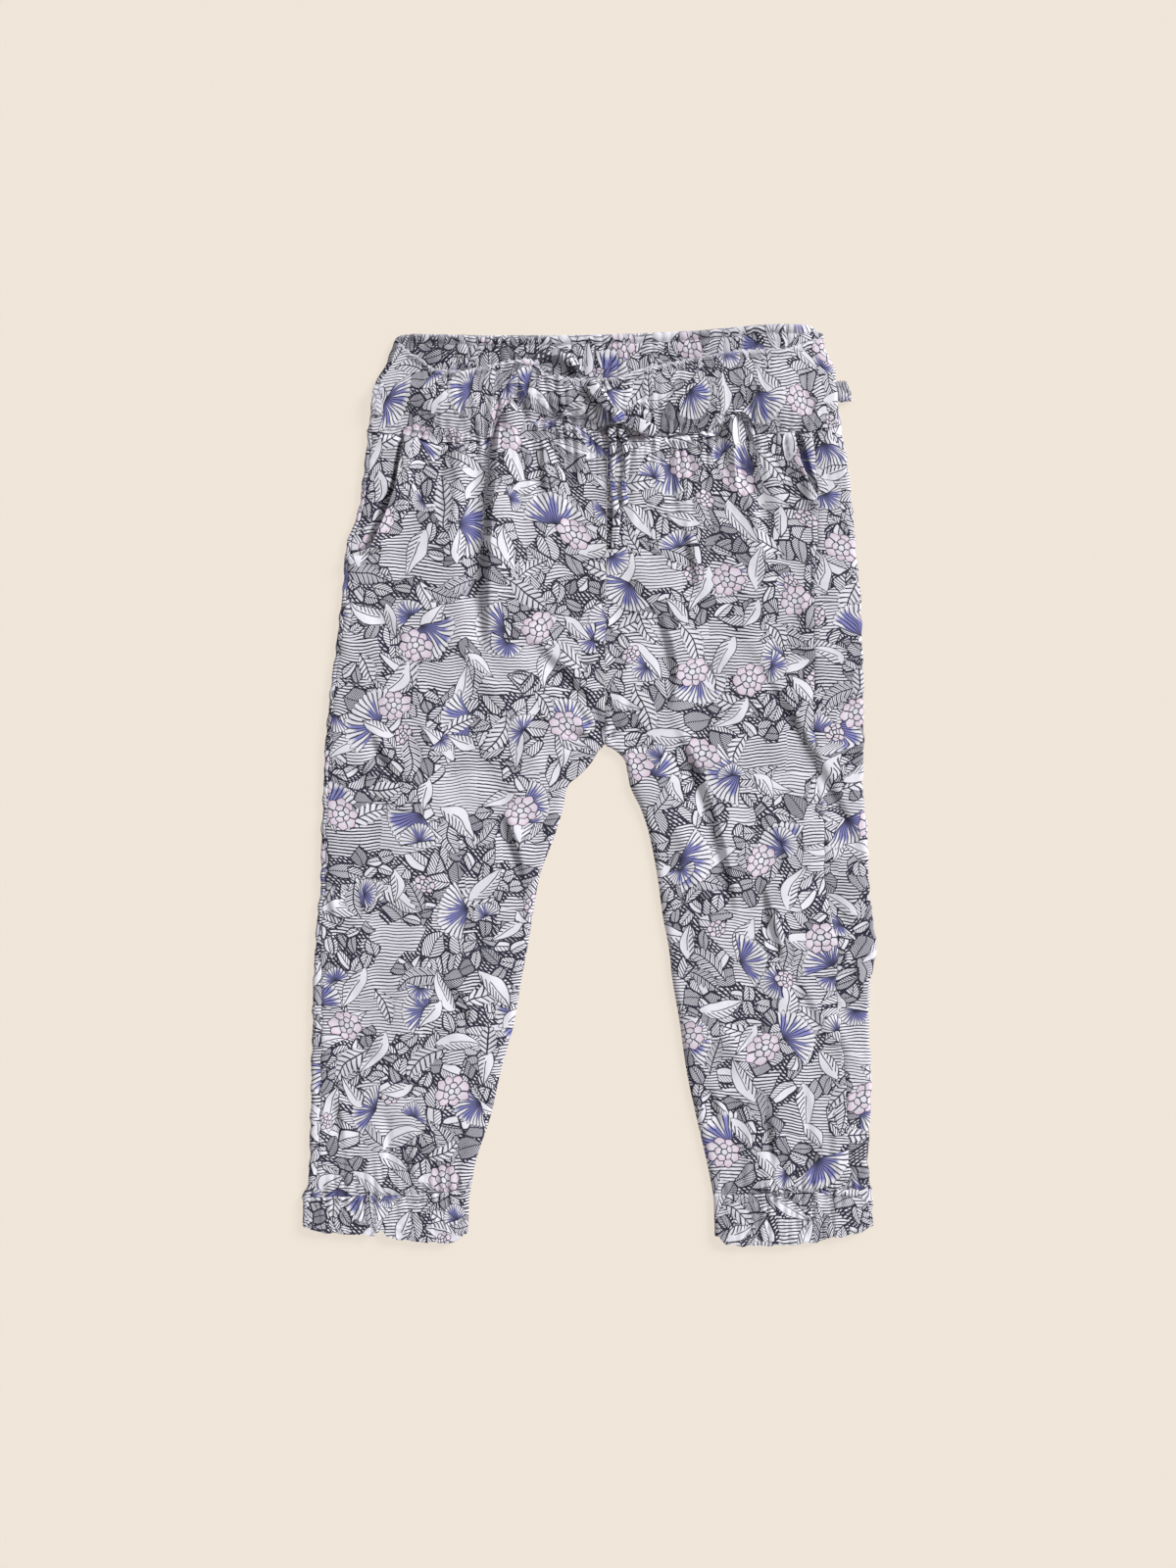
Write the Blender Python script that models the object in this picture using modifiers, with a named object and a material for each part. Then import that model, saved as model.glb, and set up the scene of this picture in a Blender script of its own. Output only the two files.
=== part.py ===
"""Harem pants for a small child, laid flat with the front up.

The back lies on the ground plane, the front lies on it, and the waist points along +Y.
The wearer's right leg is at -X and the left leg at +X.  Sizes are in millimetres and are
turned into metres where a mesh is made.
"""
import math

import bmesh
import bpy
import numpy as np

MM = 0.001
COLLECTION_NAME = "harem_pants"

# Cloth walls and the gaps that keep sewn pieces apart
CLOTH = 1.2
BAND_CLOTH = 1.6
POCKET_CLOTH = 1.0
TIE_CLOTH = 1.0
GAP = 0.3

# Heights above the ground plane
FRONT_TOP = 3.9
FRONT_LOWEST = 2.9
FRONT_HIGHEST = 6.3
BAND_TOP = 4.9
BAND_LOWEST = 3.9
BAND_HIGHEST = 7.1
CUFF_TOP = 4.5
POCKET_TOP = 2.6
INSEAM_TOP = 2.4
BAND_EDGE_TOP = 2.9

# Rounded edges, seen from above
EDGE_ROUND = 4.0
EDGE_STEPS = (0.0, 0.12, 0.45, 1.0)
FOLD_STEPS = 4

# Pocket slit
POCKET_LIP = 0.9
LIP_WIDTH = 9.0
LIP_RUN = 11.5
LIP_FADE = 10.0
POCKET_UNDER = 6.0
SLIT_SLOPE = 5.0
POCKET_SHARES = (0.0, 0.35, 0.7, 1.0)

# Seam rows
ARCH_INSET = 1.0
NOMINAL_WAIST = 178.0
NOMINAL_HEM = -208.0
WAIST_EASE = 30.0
HEM_EASE = 14.0
CROTCH_Y = 19.8
CROTCH_EASE = 6.0
EDGE_CALM = 9.0

# Outline of the flat garment, from the waist down to the hems.  "side" is the outer edge,
# "wrap" is how far the back comes round that edge on to the front, and "inner" is the
# centre seam above the crotch and the inseam below it.
#   y, side_right, wrap_right, inner_right, inner_left, wrap_left, side_left
OUTLINE = (
    (235.0, -98.0, 2.3, 9.6, 9.6, 14.0, 118.0),
    (228.0, -98.3, 2.3, 9.5, 9.5, 14.0, 118.8),
    (222.0, -100.2, 2.3, 9.5, 9.5, 14.0, 120.3),
    (210.0, -106.8, 2.3, 9.4, 9.4, 14.0, 125.2),
    (204.0, -110.2, 2.3, 9.4, 9.4, 14.5, 125.8),
    (192.0, -111.8, 2.3, 9.3, 9.3, 15.0, 126.8),
    (180.0, -112.8, 2.3, 9.2, 9.2, 15.0, 128.7),
    (168.0, -114.8, 2.3, 9.1, 9.1, 16.0, 130.8),
    (144.0, -118.2, 2.3, 8.8, 8.8, 17.2, 133.8),
    (120.0, -124.8, 2.3, 8.5, 8.5, 20.0, 135.8),
    (96.0, -126.2, 2.3, 8.3, 8.3, 24.0, 138.2),
    (66.0, -129.8, 2.3, 8.0, 8.0, 24.5, 139.2),
    (42.0, -132.8, 2.3, 7.8, 7.8, 25.5, 139.8),
    (CROTCH_Y, -134.6, 2.3, 7.7, 7.7, 25.0, 139.7),
    (17.8, -134.8, 2.3, 4.8, 13.2, 24.8, 139.7),
    (11.8, -135.2, 2.3, 1.2, 18.2, 24.0, 139.7),
    (5.8, -135.2, 2.3, -4.2, 19.4, 24.0, 139.6),
    (-0.2, -135.8, 2.3, -11.0, 20.6, 23.0, 139.3),
    (-12.2, -135.8, 2.3, -13.6, 26.2, 22.0, 140.2),
    (-24.2, -136.8, 2.3, -17.2, 30.2, 22.0, 141.8),
    (-48.2, -136.8, 2.3, -25.8, 34.8, 22.5, 142.2),
    (-66.2, -138.8, 2.3, -28.8, 37.2, 21.0, 144.4),
    (-84.2, -139.8, 3.0, -31.8, 40.6, 19.5, 146.2),
    (-96.2, -140.8, 4.0, -34.2, 41.8, 18.0, 143.8),
    (-120.2, -141.2, 5.0, -38.2, 45.8, 15.5, 142.2),
    (-144.2, -141.8, 5.0, -44.8, 49.2, 13.5, 142.8),
    (-168.2, -142.2, 5.0, -50.2, 54.2, 12.0, 142.8),
    (-192.2, -142.8, 4.5, -58.0, 59.8, 9.5, 141.8),
    (-204.2, -143.8, 4.0, -60.2, 62.2, 9.0, 142.2),
    (-210.2, -146.2, 4.0, -61.2, 63.2, 8.5, 142.8),
    (-235.0, -145.8, 4.0, -62.0, 64.0, 8.0, 143.4),
)

# Seam between the waistband and the front, without the arches over the pleats: x, y
WAIST_SEAM = (
    (-113.0, 180.8), (-95.8, 178.8), (-82.8, 175.3), (-65.8, 174.3), (-53.0, 176.5),
    (-32.0, 185.5), (-15.8, 185.3), (14.2, 178.8), (31.8, 177.8), (60.8, 180.2),
    (89.2, 179.2), (104.8, 179.8), (124.8, 183.2), (129.0, 184.8),
)

# Top edges of the waistband: x, y
FRONT_EDGE = (
    (-98.3, 226.2), (-92.8, 221.8), (-85.8, 216.8), (-78.2, 211.8), (-65.8, 210.8),
    (-54.2, 212.8), (-41.2, 215.8), (-31.0, 216.8), (-20.8, 208.6), (-0.8, 206.8),
    (11.8, 207.2), (28.2, 212.2), (50.8, 216.8), (75.2, 221.2), (98.8, 222.2),
    (110.8, 225.8), (118.4, 228.6),
)
BACK_EDGE = (
    (-98.0, 228.2), (-50.8, 228.3), (-20.8, 228.8), (9.2, 230.2), (49.2, 232.2),
    (74.2, 233.9), (97.0, 234.7), (110.8, 234.0), (115.5, 231.8), (118.4, 229.4),
)

# Hem bands: x, seam with the leg, bottom edge
RIGHT_HEM = (
    (-146.2, -210.2, -223.5), (-142.0, -210.0, -226.5), (-130.0, -209.6, -228.0),
    (-110.0, -209.0, -229.2), (-98.0, -208.6, -231.0), (-88.0, -208.2, -233.8),
    (-72.0, -207.4, -234.7), (-65.0, -206.8, -230.5), (-61.5, -206.4, -223.0),
)
LEFT_HEM = (
    (63.4, -208.8, -224.0), (66.8, -208.7, -231.0), (70.5, -208.5, -234.3),
    (102.0, -207.2, -234.5), (124.0, -206.2, -231.4), (138.0, -205.6, -229.0),
    (143.2, -205.4, -223.5),
)

# Pocket mouths: y, x
RIGHT_POCKET = (
    (117.8, -122.6), (119.8, -117.8), (123.0, -113.8), (131.0, -109.8), (141.0, -105.2),
    (152.0, -99.4), (166.0, -97.3), (190.0, -96.5),
)
LEFT_POCKET = (
    (147.3, 116.2), (152.0, 113.0), (161.0, 108.6), (178.0, 104.5), (190.0, 103.0),
)

# Where the waist pleats lift the seam: x, half width, height of the arch
PLEAT_ARCHES = (
    (-41.0, 9.0, 15.0),
    (77.0, 9.0, 12.0),
)

# Creases and ridges of the front: start x, start y, end x, end y, sideways bow,
# half width, height (below zero is a trough)
FOLDS = (
    (-45.0, 196.0, -54.0, 112.0, 0.0, 2.6, -2.4),
    (-39.0, 204.0, -47.5, 106.0, 0.0, 4.2, 2.3),
    (-57.0, 176.0, -62.0, 112.0, 0.0, 5.0, 0.9),
    (-52.0, 112.0, -49.0, 38.0, 0.0, 5.5, -0.9),
    (71.0, 200.0, 88.0, 122.0, -4.0, 4.0, 2.3),
    (80.0, 196.0, 94.0, 134.0, -4.0, 2.8, -2.3),
    (64.0, 180.0, 76.0, 146.0, 0.0, 4.0, -0.9),
    (-31.0, 78.0, 8.0, 28.0, 0.0, 5.0, -1.4),
    (-40.0, 66.0, -4.0, 20.0, 0.0, 6.0, 0.8),
    (34.0, 80.0, 69.0, -56.0, 3.0, 5.0, -1.4),
    (46.0, 76.0, 82.0, -52.0, 3.0, 7.0, 1.0),
    (87.0, 60.0, 128.0, -12.0, 0.0, 5.0, -1.3),
    (98.0, 60.0, 136.0, 0.0, 0.0, 6.0, 0.8),
    (88.0, -58.0, 95.0, -84.0, 0.0, 5.0, -0.9),
    (-39.0, -14.0, -33.0, -48.0, 0.0, 6.0, -1.0),
    (-106.0, 30.0, -99.0, 4.0, 0.0, 6.0, -0.7),
    (-125.0, -160.0, -118.0, -184.0, 0.0, 7.0, -0.9),
    (90.0, -166.0, 94.0, -190.0, 0.0, 6.0, -0.9),
    (64.0, -156.0, 72.0, -176.0, 0.0, 6.0, -0.8),
    (-95.0, 90.0, -88.0, -190.0, 8.0, 22.0, 0.7),
    (104.0, -20.0, 102.0, -190.0, -5.0, 20.0, 0.7),
    (-80.0, 165.0, -84.0, 120.0, 0.0, 12.0, 0.6),
    (30.0, 165.0, 36.0, 110.0, 0.0, 14.0, 0.5),
)

# Soft lumps of the waistband: start x, start y, end x, end y, bow, half width, height
BAND_FOLDS = (
    (-112.0, 196.0, -88.0, 218.0, 3.0, 4.5, -0.9),
    (-104.0, 204.0, -70.0, 194.0, 0.0, 8.0, 0.8),
    (-58.0, 214.0, -52.0, 178.0, 0.0, 5.0, -0.7),
    (-34.0, 216.0, -32.0, 188.0, 0.0, 5.0, 0.7),
    (-22.0, 206.0, -18.0, 188.0, 0.0, 4.0, -0.6),
    (-6.0, 204.0, -8.0, 184.0, 0.0, 4.0, 0.6),
    (24.0, 208.0, 30.0, 182.0, 0.0, 4.5, -0.7),
    (40.0, 210.0, 46.0, 184.0, 0.0, 6.0, 0.6),
    (60.0, 214.0, 62.0, 184.0, 0.0, 5.0, -0.6),
    (92.0, 216.0, 96.0, 182.0, 0.0, 6.0, 0.6),
    (106.0, 222.0, 112.0, 186.0, 0.0, 4.0, -0.7),
)

# Rows of the legs: from y, to y, number of rows
ROW_ZONES = (
    (NOMINAL_HEM, -30.0, 14), (-30.0, -12.0, 2), (-12.0, 22.0, 9), (22.0, 34.0, 2),
    (34.0, 112.0, 6), (112.0, 126.0, 5), (126.0, 150.0, 3), (150.0, NOMINAL_WAIST, 4),
)

# Lines that the front's columns follow, so that the creases lie along them: y, x
RIGHT_GUIDE = (
    (-235.0, -98.0), (-130.0, -78.0), (-60.0, -50.0), (-30.0, -42.0), (0.0, -44.0),
    (38.0, -49.0), (112.0, -54.0), (196.0, -45.0), (235.0, -43.0),
)
LEFT_GUIDE = (
    (-235.0, 104.0), (-120.0, 92.0), (-56.0, 74.0), (0.0, 66.0), (60.0, 72.0),
    (122.0, 86.0), (150.0, 79.0), (196.0, 73.0), (235.0, 72.0),
)
# Shares of the back's width on the ground
FLOOR_SHARES = (0.0, 0.25, 0.5, 0.75)
# Share of the way from the outer seam to the guide, then from the guide to the inner edge
OUTER_SHARES = (0.0, 0.22, 0.44, 0.64, 0.82, 0.92)
INNER_SHARES = (0.0, 0.06, 0.13, 0.26, 0.46, 0.68)

# Tie: a bow with two loops and two tails.  x, y along each tail
TIE_WIDTH = 4.0
KNOT_CENTRE = (13.8, 187.0)
KNOT_RADII = (4.2, 3.6, 2.4)
TAIL_PATHS = {
    "tie_tail_right": ((11.6, 182.3), (11.4, 176.0), (12.0, 160.0), (13.2, 140.0), (12.8, 121.0)),
    "tie_tail_left": ((16.2, 182.3), (17.6, 174.0), (19.0, 163.0), (17.8, 151.0), (18.4, 143.0)),
}
# name: direction in degrees, length, width at the knot, widest, width at the fold
TIE_LOOPS = {
    "tie_loop_right": (128.0, 19.0, 3.4, 6.0, 4.6),
    "tie_loop_left": (-20.0, 17.0, 3.4, 6.4, 5.0),
}
LOOP_HEIGHT = 3.2

# Waistband: rows of each half, columns of the back, and the extra columns of the front
FRONT_BAND_ROWS = (0.0, 0.25, 0.5, 0.75, 1.0)
BACK_BAND_ROWS = (0.0, 0.33, 0.66, 1.0)
BACK_BAND_COLUMNS = 17
LEFT_END_COLUMNS = (20.0, 14.0, 8.0)
CLOSEST_COLUMNS = 0.35
MOUTH_LIFT = 1.7
MOUTH_ENDS = (-100.0, 120.0)
MOUTH_FADE = 30.0

# Hem bands
CUFF_ROWS = (0.0, 0.3, 0.65, 1.0)
CUFF_COLUMNS = 9
CUFF_WAVE = 0.35
CUFF_WAVE_RATE = 0.21

# Carriers for a belt, at the side seams of the waistband
CARRIER_PATH = ((-107.2, 204.0), (-108.4, 196.5), (-108.0, 188.5))
CARRIER_WIDTH = 5.0
SIDE_CARRIER_Y = 200.8
SIDE_CARRIER_WIDTH = 8.6
SIDE_CARRIER_LENGTH = 5.6
SIDE_CARRIER_HEIGHT = 2.8
SIDE_CARRIER_GAP = 0.95

# name: base colour, roughness
CLOTHS = {
    "printed_cotton": ((0.56, 0.56, 0.62, 1.0), 0.85),
    "waistband_cotton": ((0.53, 0.53, 0.60, 1.0), 0.85),
    "pocket_cotton": ((0.50, 0.50, 0.57, 1.0), 0.85),
    "tie_cotton": ((0.60, 0.60, 0.65, 1.0), 0.85),
}


def smooth_curve(knots, values):
    """A function that passes through the values without overshooting them."""
    order = np.argsort(knots)
    knots = np.asarray(knots, float)[order]
    values = np.asarray(values, float)[order]
    steps = np.diff(knots)
    slopes = np.diff(values) / steps
    tangents = np.concatenate(([slopes[0]], np.zeros(len(slopes) - 1), [slopes[-1]]))
    for i in range(1, len(slopes)):
        if slopes[i - 1] * slopes[i] > 0.0:
            tangents[i] = 2.0 / (1.0 / slopes[i - 1] + 1.0 / slopes[i])

    def curve(at):
        at = np.clip(at, knots[0], knots[-1])
        i = np.clip(np.searchsorted(knots, at, side="right") - 1, 0, len(steps) - 1)
        t = (at - knots[i]) / steps[i]
        rest = 1.0 - t
        start = (1.0 + 2.0 * t) * rest**2 * values[i] + t * rest**2 * steps[i] * tangents[i]
        end = (3.0 - 2.0 * t) * t**2 * values[i + 1] - rest * t**2 * steps[i] * tangents[i + 1]
        return start + end

    return curve


def columns_of(table):
    """A smooth curve of each later column over the first one."""
    rows = np.array(table)
    return [smooth_curve(rows[:, 0], rows[:, k]) for k in range(1, rows.shape[1])]


def smoothstep(value):
    t = np.clip(value, 0.0, 1.0)
    return t * t * (3.0 - 2.0 * t)


side_right, wrap_right, inner_right, inner_left, wrap_left, side_left = columns_of(OUTLINE)
waist_base, = columns_of(WAIST_SEAM)
front_edge, = columns_of(FRONT_EDGE)
back_edge, = columns_of(BACK_EDGE)
right_hem_seam, right_hem_edge = columns_of(RIGHT_HEM)
left_hem_seam, left_hem_edge = columns_of(LEFT_HEM)
right_pocket, = columns_of(RIGHT_POCKET)
left_pocket, = columns_of(LEFT_POCKET)
right_guide, = columns_of(RIGHT_GUIDE)
left_guide, = columns_of(LEFT_GUIDE)


def waist_seam(x, inset=0.0):
    """Lower edge of the waistband, which arches over each pleat."""
    y = waist_base(x)
    for centre, half_width, height in PLEAT_ARCHES:
        t = np.clip((x - centre) / (half_width - inset), -1.0, 1.0)
        y = y + (height - inset) * (1.0 - t * t)
    return y


def back_waist(x):
    """Lower edge of the back waistband: a straight line from side to side."""
    start, end = side_right(NOMINAL_WAIST), side_left(NOMINAL_WAIST)
    return waist_base(start) + (waist_base(end) - waist_base(start)) * (x - start) / (end - start)


def relief(x, y, folds):
    """Sum of the creases and ridges at each point."""
    total = np.zeros(np.broadcast(x, y).shape)
    for x1, y1, x2, y2, bow, half_width, height in folds:
        length = math.hypot(x2 - x1, y2 - y1)
        along_x, along_y = (x2 - x1) / length, (y2 - y1) / length
        s = ((x - x1) * along_x + (y - y1) * along_y) / length
        off = (y - y1) * along_x - (x - x1) * along_y
        off = off - bow * 4.0 * s * (1.0 - s)
        fade = smoothstep((s + 0.1) / 0.25) * smoothstep((1.1 - s) / 0.25)
        total = total + height * fade * np.exp(-((off / half_width) ** 2))
    return total


def calm(x, y):
    """Zero at the outer edges and inseams, one away from them."""
    nearest = np.minimum(x - side_right(y), side_left(y) - x)
    above = smoothstep((y - CROTCH_Y + CROTCH_EASE) / CROTCH_EASE)
    inseam = np.maximum(inner_right(y) - x, x - inner_left(y))
    nearest = np.minimum(nearest, inseam + above * 2.0 * EDGE_CALM)
    return smoothstep(nearest / EDGE_CALM)


def plain_height(x, y):
    """Top face of the cloth above the ground, away from the pocket mouths."""
    height = FRONT_TOP + calm(x, y) * relief(x, y, FOLDS)
    return np.clip(height, FRONT_LOWEST, FRONT_HIGHEST)


def front_height(x, y):
    """The same, with the front lifted along each pocket mouth, over the piece below it."""
    lips = []
    for table, mouth in ((RIGHT_POCKET, right_pocket), (LEFT_POCKET, left_pocket)):
        along = smoothstep((y - table[0][0] + LIP_RUN) / LIP_FADE)
        lips.append(along * np.exp(-(((x - mouth(y)) / LIP_WIDTH) ** 2)))
    return plain_height(x, y) + POCKET_LIP * np.maximum(*lips)


def band_height(x, y):
    """Top face of the front waistband, highest along its open edge."""
    share = (y - waist_seam(x)) / (front_edge(x) - waist_seam(x))
    first, last = MOUTH_ENDS
    ends = smoothstep((x - first) / MOUTH_FADE) * smoothstep((last - x) / MOUTH_FADE)
    lift = MOUTH_LIFT * ends * smoothstep(share)
    height = BAND_TOP + lift + calm(x, y) * relief(x, y, BAND_FOLDS)
    return np.clip(height, BAND_LOWEST, BAND_HIGHEST)


def rounded(distance, low, high, reach=EDGE_ROUND):
    """Quarter of an ellipse from the edge's height up to the full height."""
    t = 1.0 - np.clip(distance / reach, 0.0, 1.0)
    return low + (high - low) * np.sqrt(1.0 - t * t)


def leg_rows():
    rows = [ROW_ZONES[0][0]]
    for start, end, count in ROW_ZONES:
        rows.extend(np.linspace(start, end, count + 1)[1:])
    return np.array(rows)


def settle(x_of, y, top_of, bottom_of):
    """Move the first and last rows on to their seams, and keep x on the columns."""
    x = x_of(y)
    settled = y
    for _ in range(3):
        waist = (top_of(x) - NOMINAL_WAIST) * smoothstep((y - NOMINAL_WAIST + WAIST_EASE) / WAIST_EASE)
        hem = (bottom_of(x) - NOMINAL_HEM) * smoothstep((NOMINAL_HEM + HEM_EASE - y) / HEM_EASE)
        settled = y + waist + hem
        x = x_of(settled)
    return x, settled


def make_material(name):
    material = bpy.data.materials.get(name)
    if material is None:
        colour, roughness = CLOTHS[name]
        material = bpy.data.materials.new(name)
        material.use_nodes = True
        shader = material.node_tree.nodes["Principled BSDF"]
        shader.inputs["Base Color"].default_value = colour
        shader.inputs["Roughness"].default_value = roughness
        shader.inputs["Metallic"].default_value = 0.0
        material.diffuse_color = colour
    return material


def link(mesh, name, material):
    mesh.materials.append(make_material(material))
    mesh.shade_smooth()
    piece = bpy.data.objects.new(name, mesh)
    bpy.data.collections[COLLECTION_NAME].objects.link(piece)
    return piece


def cloth(name, grid, thickness, material, turn=False):
    """An open sheet through a grid of outer points, with a Solidify wall inside it."""
    rows, columns = grid.shape[:2]
    bm = bmesh.new()
    verts = [[bm.verts.new(point * MM) for point in row] for row in grid]
    for i in range(rows - 1):
        for j in range(columns - 1):
            face = [verts[i][j], verts[i][j + 1], verts[i + 1][j + 1], verts[i + 1][j]]
            if turn:
                face.reverse()
            bm.faces.new(face)
    mesh = bpy.data.meshes.new(name)
    bm.to_mesh(mesh)
    bm.free()
    piece = link(mesh, name, material)
    wall = piece.modifiers.new("wall", "SOLIDIFY")
    wall.thickness = thickness * MM
    wall.offset = -1.0
    return piece


def leg_grid(columns, y_rows, top_of, bottom_of, height_of):
    """Points of a panel: one list of column functions, one height function."""
    grid = []
    for x_of in columns:
        x, y = settle(x_of, y_rows, top_of, bottom_of)
        grid.append(np.stack([x, y, height_of(x, y)], axis=-1))
    return np.array(grid).transpose(1, 0, 2)


def between(first, second, share, shift=0.0):
    """Column a share of the way between two lines, moved sideways by a shift."""
    return lambda y: first(y) + (second(y) - first(y)) * share + shift


def front_columns(outer, guide, inner, inward):
    """Column functions of a front panel, from its outer seam to its inner edge."""
    columns = [between(outer, guide, share) for share in OUTER_SHARES]
    rounding = [between(inner, inner, 0.0, -inward * EDGE_ROUND * step) for step in EDGE_STEPS]
    columns += [between(guide, rounding[-1], share) for share in INNER_SHARES]
    return columns + rounding[::-1]


def right_front_outer(y):
    seam = side_right(y) + wrap_right(y) + GAP
    return np.where(y > RIGHT_POCKET[0][0], np.maximum(seam, right_pocket(y)), seam)


def left_front_outer(y):
    seam = side_left(y) - wrap_left(y) - GAP
    return np.where(y > LEFT_POCKET[0][0], np.minimum(seam, left_pocket(y)), seam)


def right_front_inner(y):
    return inner_right(y) - GAP / 2.0


def left_front_inner(y):
    return inner_left(y) + GAP / 2.0


def front_top_edge(x):
    return waist_seam(x, ARCH_INSET) - GAP


def front_columns_right():
    return front_columns(right_front_outer, right_guide, right_front_inner, 1.0)


def front_columns_left():
    return front_columns(left_front_outer, left_guide, left_front_inner, -1.0)


def make_front_legs():
    sides = (
        ("front_leg_right", front_columns_right(), right_front_inner, right_hem_seam, False),
        ("front_leg_left", front_columns_left(), left_front_inner, left_hem_seam, True),
    )
    for name, columns, inner, hem_seam, turn in sides:
        def height_of(x, y):
            full = front_height(x, y)
            at_crotch = 1.0 - smoothstep((y - CROTCH_Y + CROTCH_EASE) / (2.0 * CROTCH_EASE))
            edge = rounded(np.abs(x - inner(y)), INSEAM_TOP, full)
            return full + (edge - full) * at_crotch

        def hem_of(x):
            return hem_seam(x) + GAP

        grid = leg_grid(columns, leg_rows(), front_top_edge, hem_of, height_of)
        cloth(name, grid, CLOTH, "printed_cotton", turn)


def make_back_legs():
    """Each back lies on the ground, turns up round the side and ends at the side seam."""
    radius = FRONT_TOP / 2.0
    sides = (
        ("back_leg_right", side_right, wrap_right, inner_right, -1.0, right_hem_seam, (1.0,)),
        ("back_leg_left", side_left, wrap_left, inner_left, 1.0, left_hem_seam, (0.35, 0.7, 1.0)),
    )
    for name, side, wrap, inner, outward, hem_seam, top_shares in sides:
        columns = []
        heights = []

        def inner_edge(y):
            return inner(y) + outward * GAP / 2.0

        def turn_start(y):
            return side(y) - outward * radius

        for share in FLOOR_SHARES:
            columns.append(between(inner_edge, turn_start, share))
            heights.append(0.0)
        for step in range(FOLD_STEPS + 1):
            angle = math.pi * step / FOLD_STEPS
            columns.append(between(turn_start, turn_start, 0.0, outward * radius * math.sin(angle)))
            heights.append(radius - radius * math.cos(angle))
        for share in top_shares:
            def top_column(y, share=share):
                return turn_start(y) - outward * (wrap(y) - radius) * share
            columns.append(top_column)
            heights.append(None)

        rows = leg_rows()
        grid = []
        for x_of, height in zip(columns, heights):
            on_top = height is None or height > radius
            top_of = front_top_edge if on_top else (lambda x: back_waist(x) - GAP)
            x, y = settle(x_of, rows, top_of, lambda x: hem_seam(x) + GAP)
            z = plain_height(x, y) if height is None else np.full(len(rows), height)
            grid.append(np.stack([x, y, z], axis=-1))
        grid = np.array(grid).transpose(1, 0, 2)
        cloth(name, grid, CLOTH, "printed_cotton", turn=outward > 0.0)


def make_pocket_sides():
    """The piece that shows outside each slanted pocket mouth and runs under the front."""
    rows = leg_rows()
    sides = (
        ("pocket_side_right", RIGHT_POCKET, right_pocket, 1.0,
         lambda y: side_right(y) + wrap_right(y) + GAP),
        ("pocket_side_left", LEFT_POCKET, left_pocket, -1.0,
         lambda y: side_left(y) - wrap_left(y) - GAP),
    )
    for name, table, pocket, inward, seam in sides:
        lowest = table[0][0] + 1.0
        panel_rows = np.concatenate(([lowest], rows[rows > lowest + 1.5]))

        def under(y):
            return pocket(y) + inward * POCKET_UNDER

        def height_of(x, y):
            outside = (pocket(y) - x) * inward
            return POCKET_TOP + (FRONT_TOP - POCKET_TOP) * smoothstep(outside / SLIT_SLOPE)

        columns = [between(seam, pocket, share) for share in POCKET_SHARES]
        columns.append(under)
        grid = leg_grid(columns, panel_rows, front_top_edge, lambda x: rows[0], height_of)
        cloth(name, grid, POCKET_CLOTH, "pocket_cotton", turn=inward < 0.0)


def band_across(y, share):
    """The point a share of the way across the waistband, at a height."""
    return side_right(y) + share * (side_left(y) - side_right(y))


def make_waistband():
    top_rows = np.array([NOMINAL_WAIST])
    stations = []
    for columns in (front_columns_right()[:-1], front_columns_left()[:-1]):
        for x_of in columns:
            x, _ = settle(x_of, top_rows, front_top_edge, lambda x: top_rows[0])
            stations.append(float(x[0]))
    low_right = float(side_right(waist_seam(side_right(NOMINAL_WAIST))))
    low_left = float(side_left(waist_seam(side_left(NOMINAL_WAIST))))
    rounding = [EDGE_ROUND * step for step in EDGE_STEPS]
    stations += [low_right + step for step in rounding] + [low_left - step for step in rounding]
    stations += [low_left - inset for inset in LEFT_END_COLUMNS]
    stations = np.array(sorted(stations))
    stations = stations[np.concatenate(([True], np.diff(stations) > CLOSEST_COLUMNS))]
    shares = (stations - low_right) / (low_left - low_right)

    grid = []
    for up in FRONT_BAND_ROWS:
        x = stations.copy()
        for _ in range(4):
            top_x = band_across(front_edge(x), shares)
            y = waist_seam(stations) + up * (front_edge(top_x) - waist_seam(stations))
            x = stations + (band_across(y, shares) - stations) * smoothstep(up * 2.0)
        nearest = np.minimum(x - x[0], x[-1] - x)
        z = rounded(nearest, BAND_EDGE_TOP, band_height(x, y))
        grid.append(np.stack([x, y, z], axis=-1))
    cloth("waistband_front", np.array(grid), BAND_CLOTH, "waistband_cotton")

    grid = []
    shares = np.linspace(0.0, 1.0, BACK_BAND_COLUMNS)
    for up in BACK_BAND_ROWS:
        x = low_right + shares * (low_left - low_right)
        for _ in range(4):
            y = back_waist(x) + up * (back_edge(x) - back_waist(x))
            x = band_across(y, shares)
        grid.append(np.stack([x, y, np.zeros(len(x))], axis=-1))
    cloth("waistband_back", np.array(grid), BAND_CLOTH, "waistband_cotton", turn=True)


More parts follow.
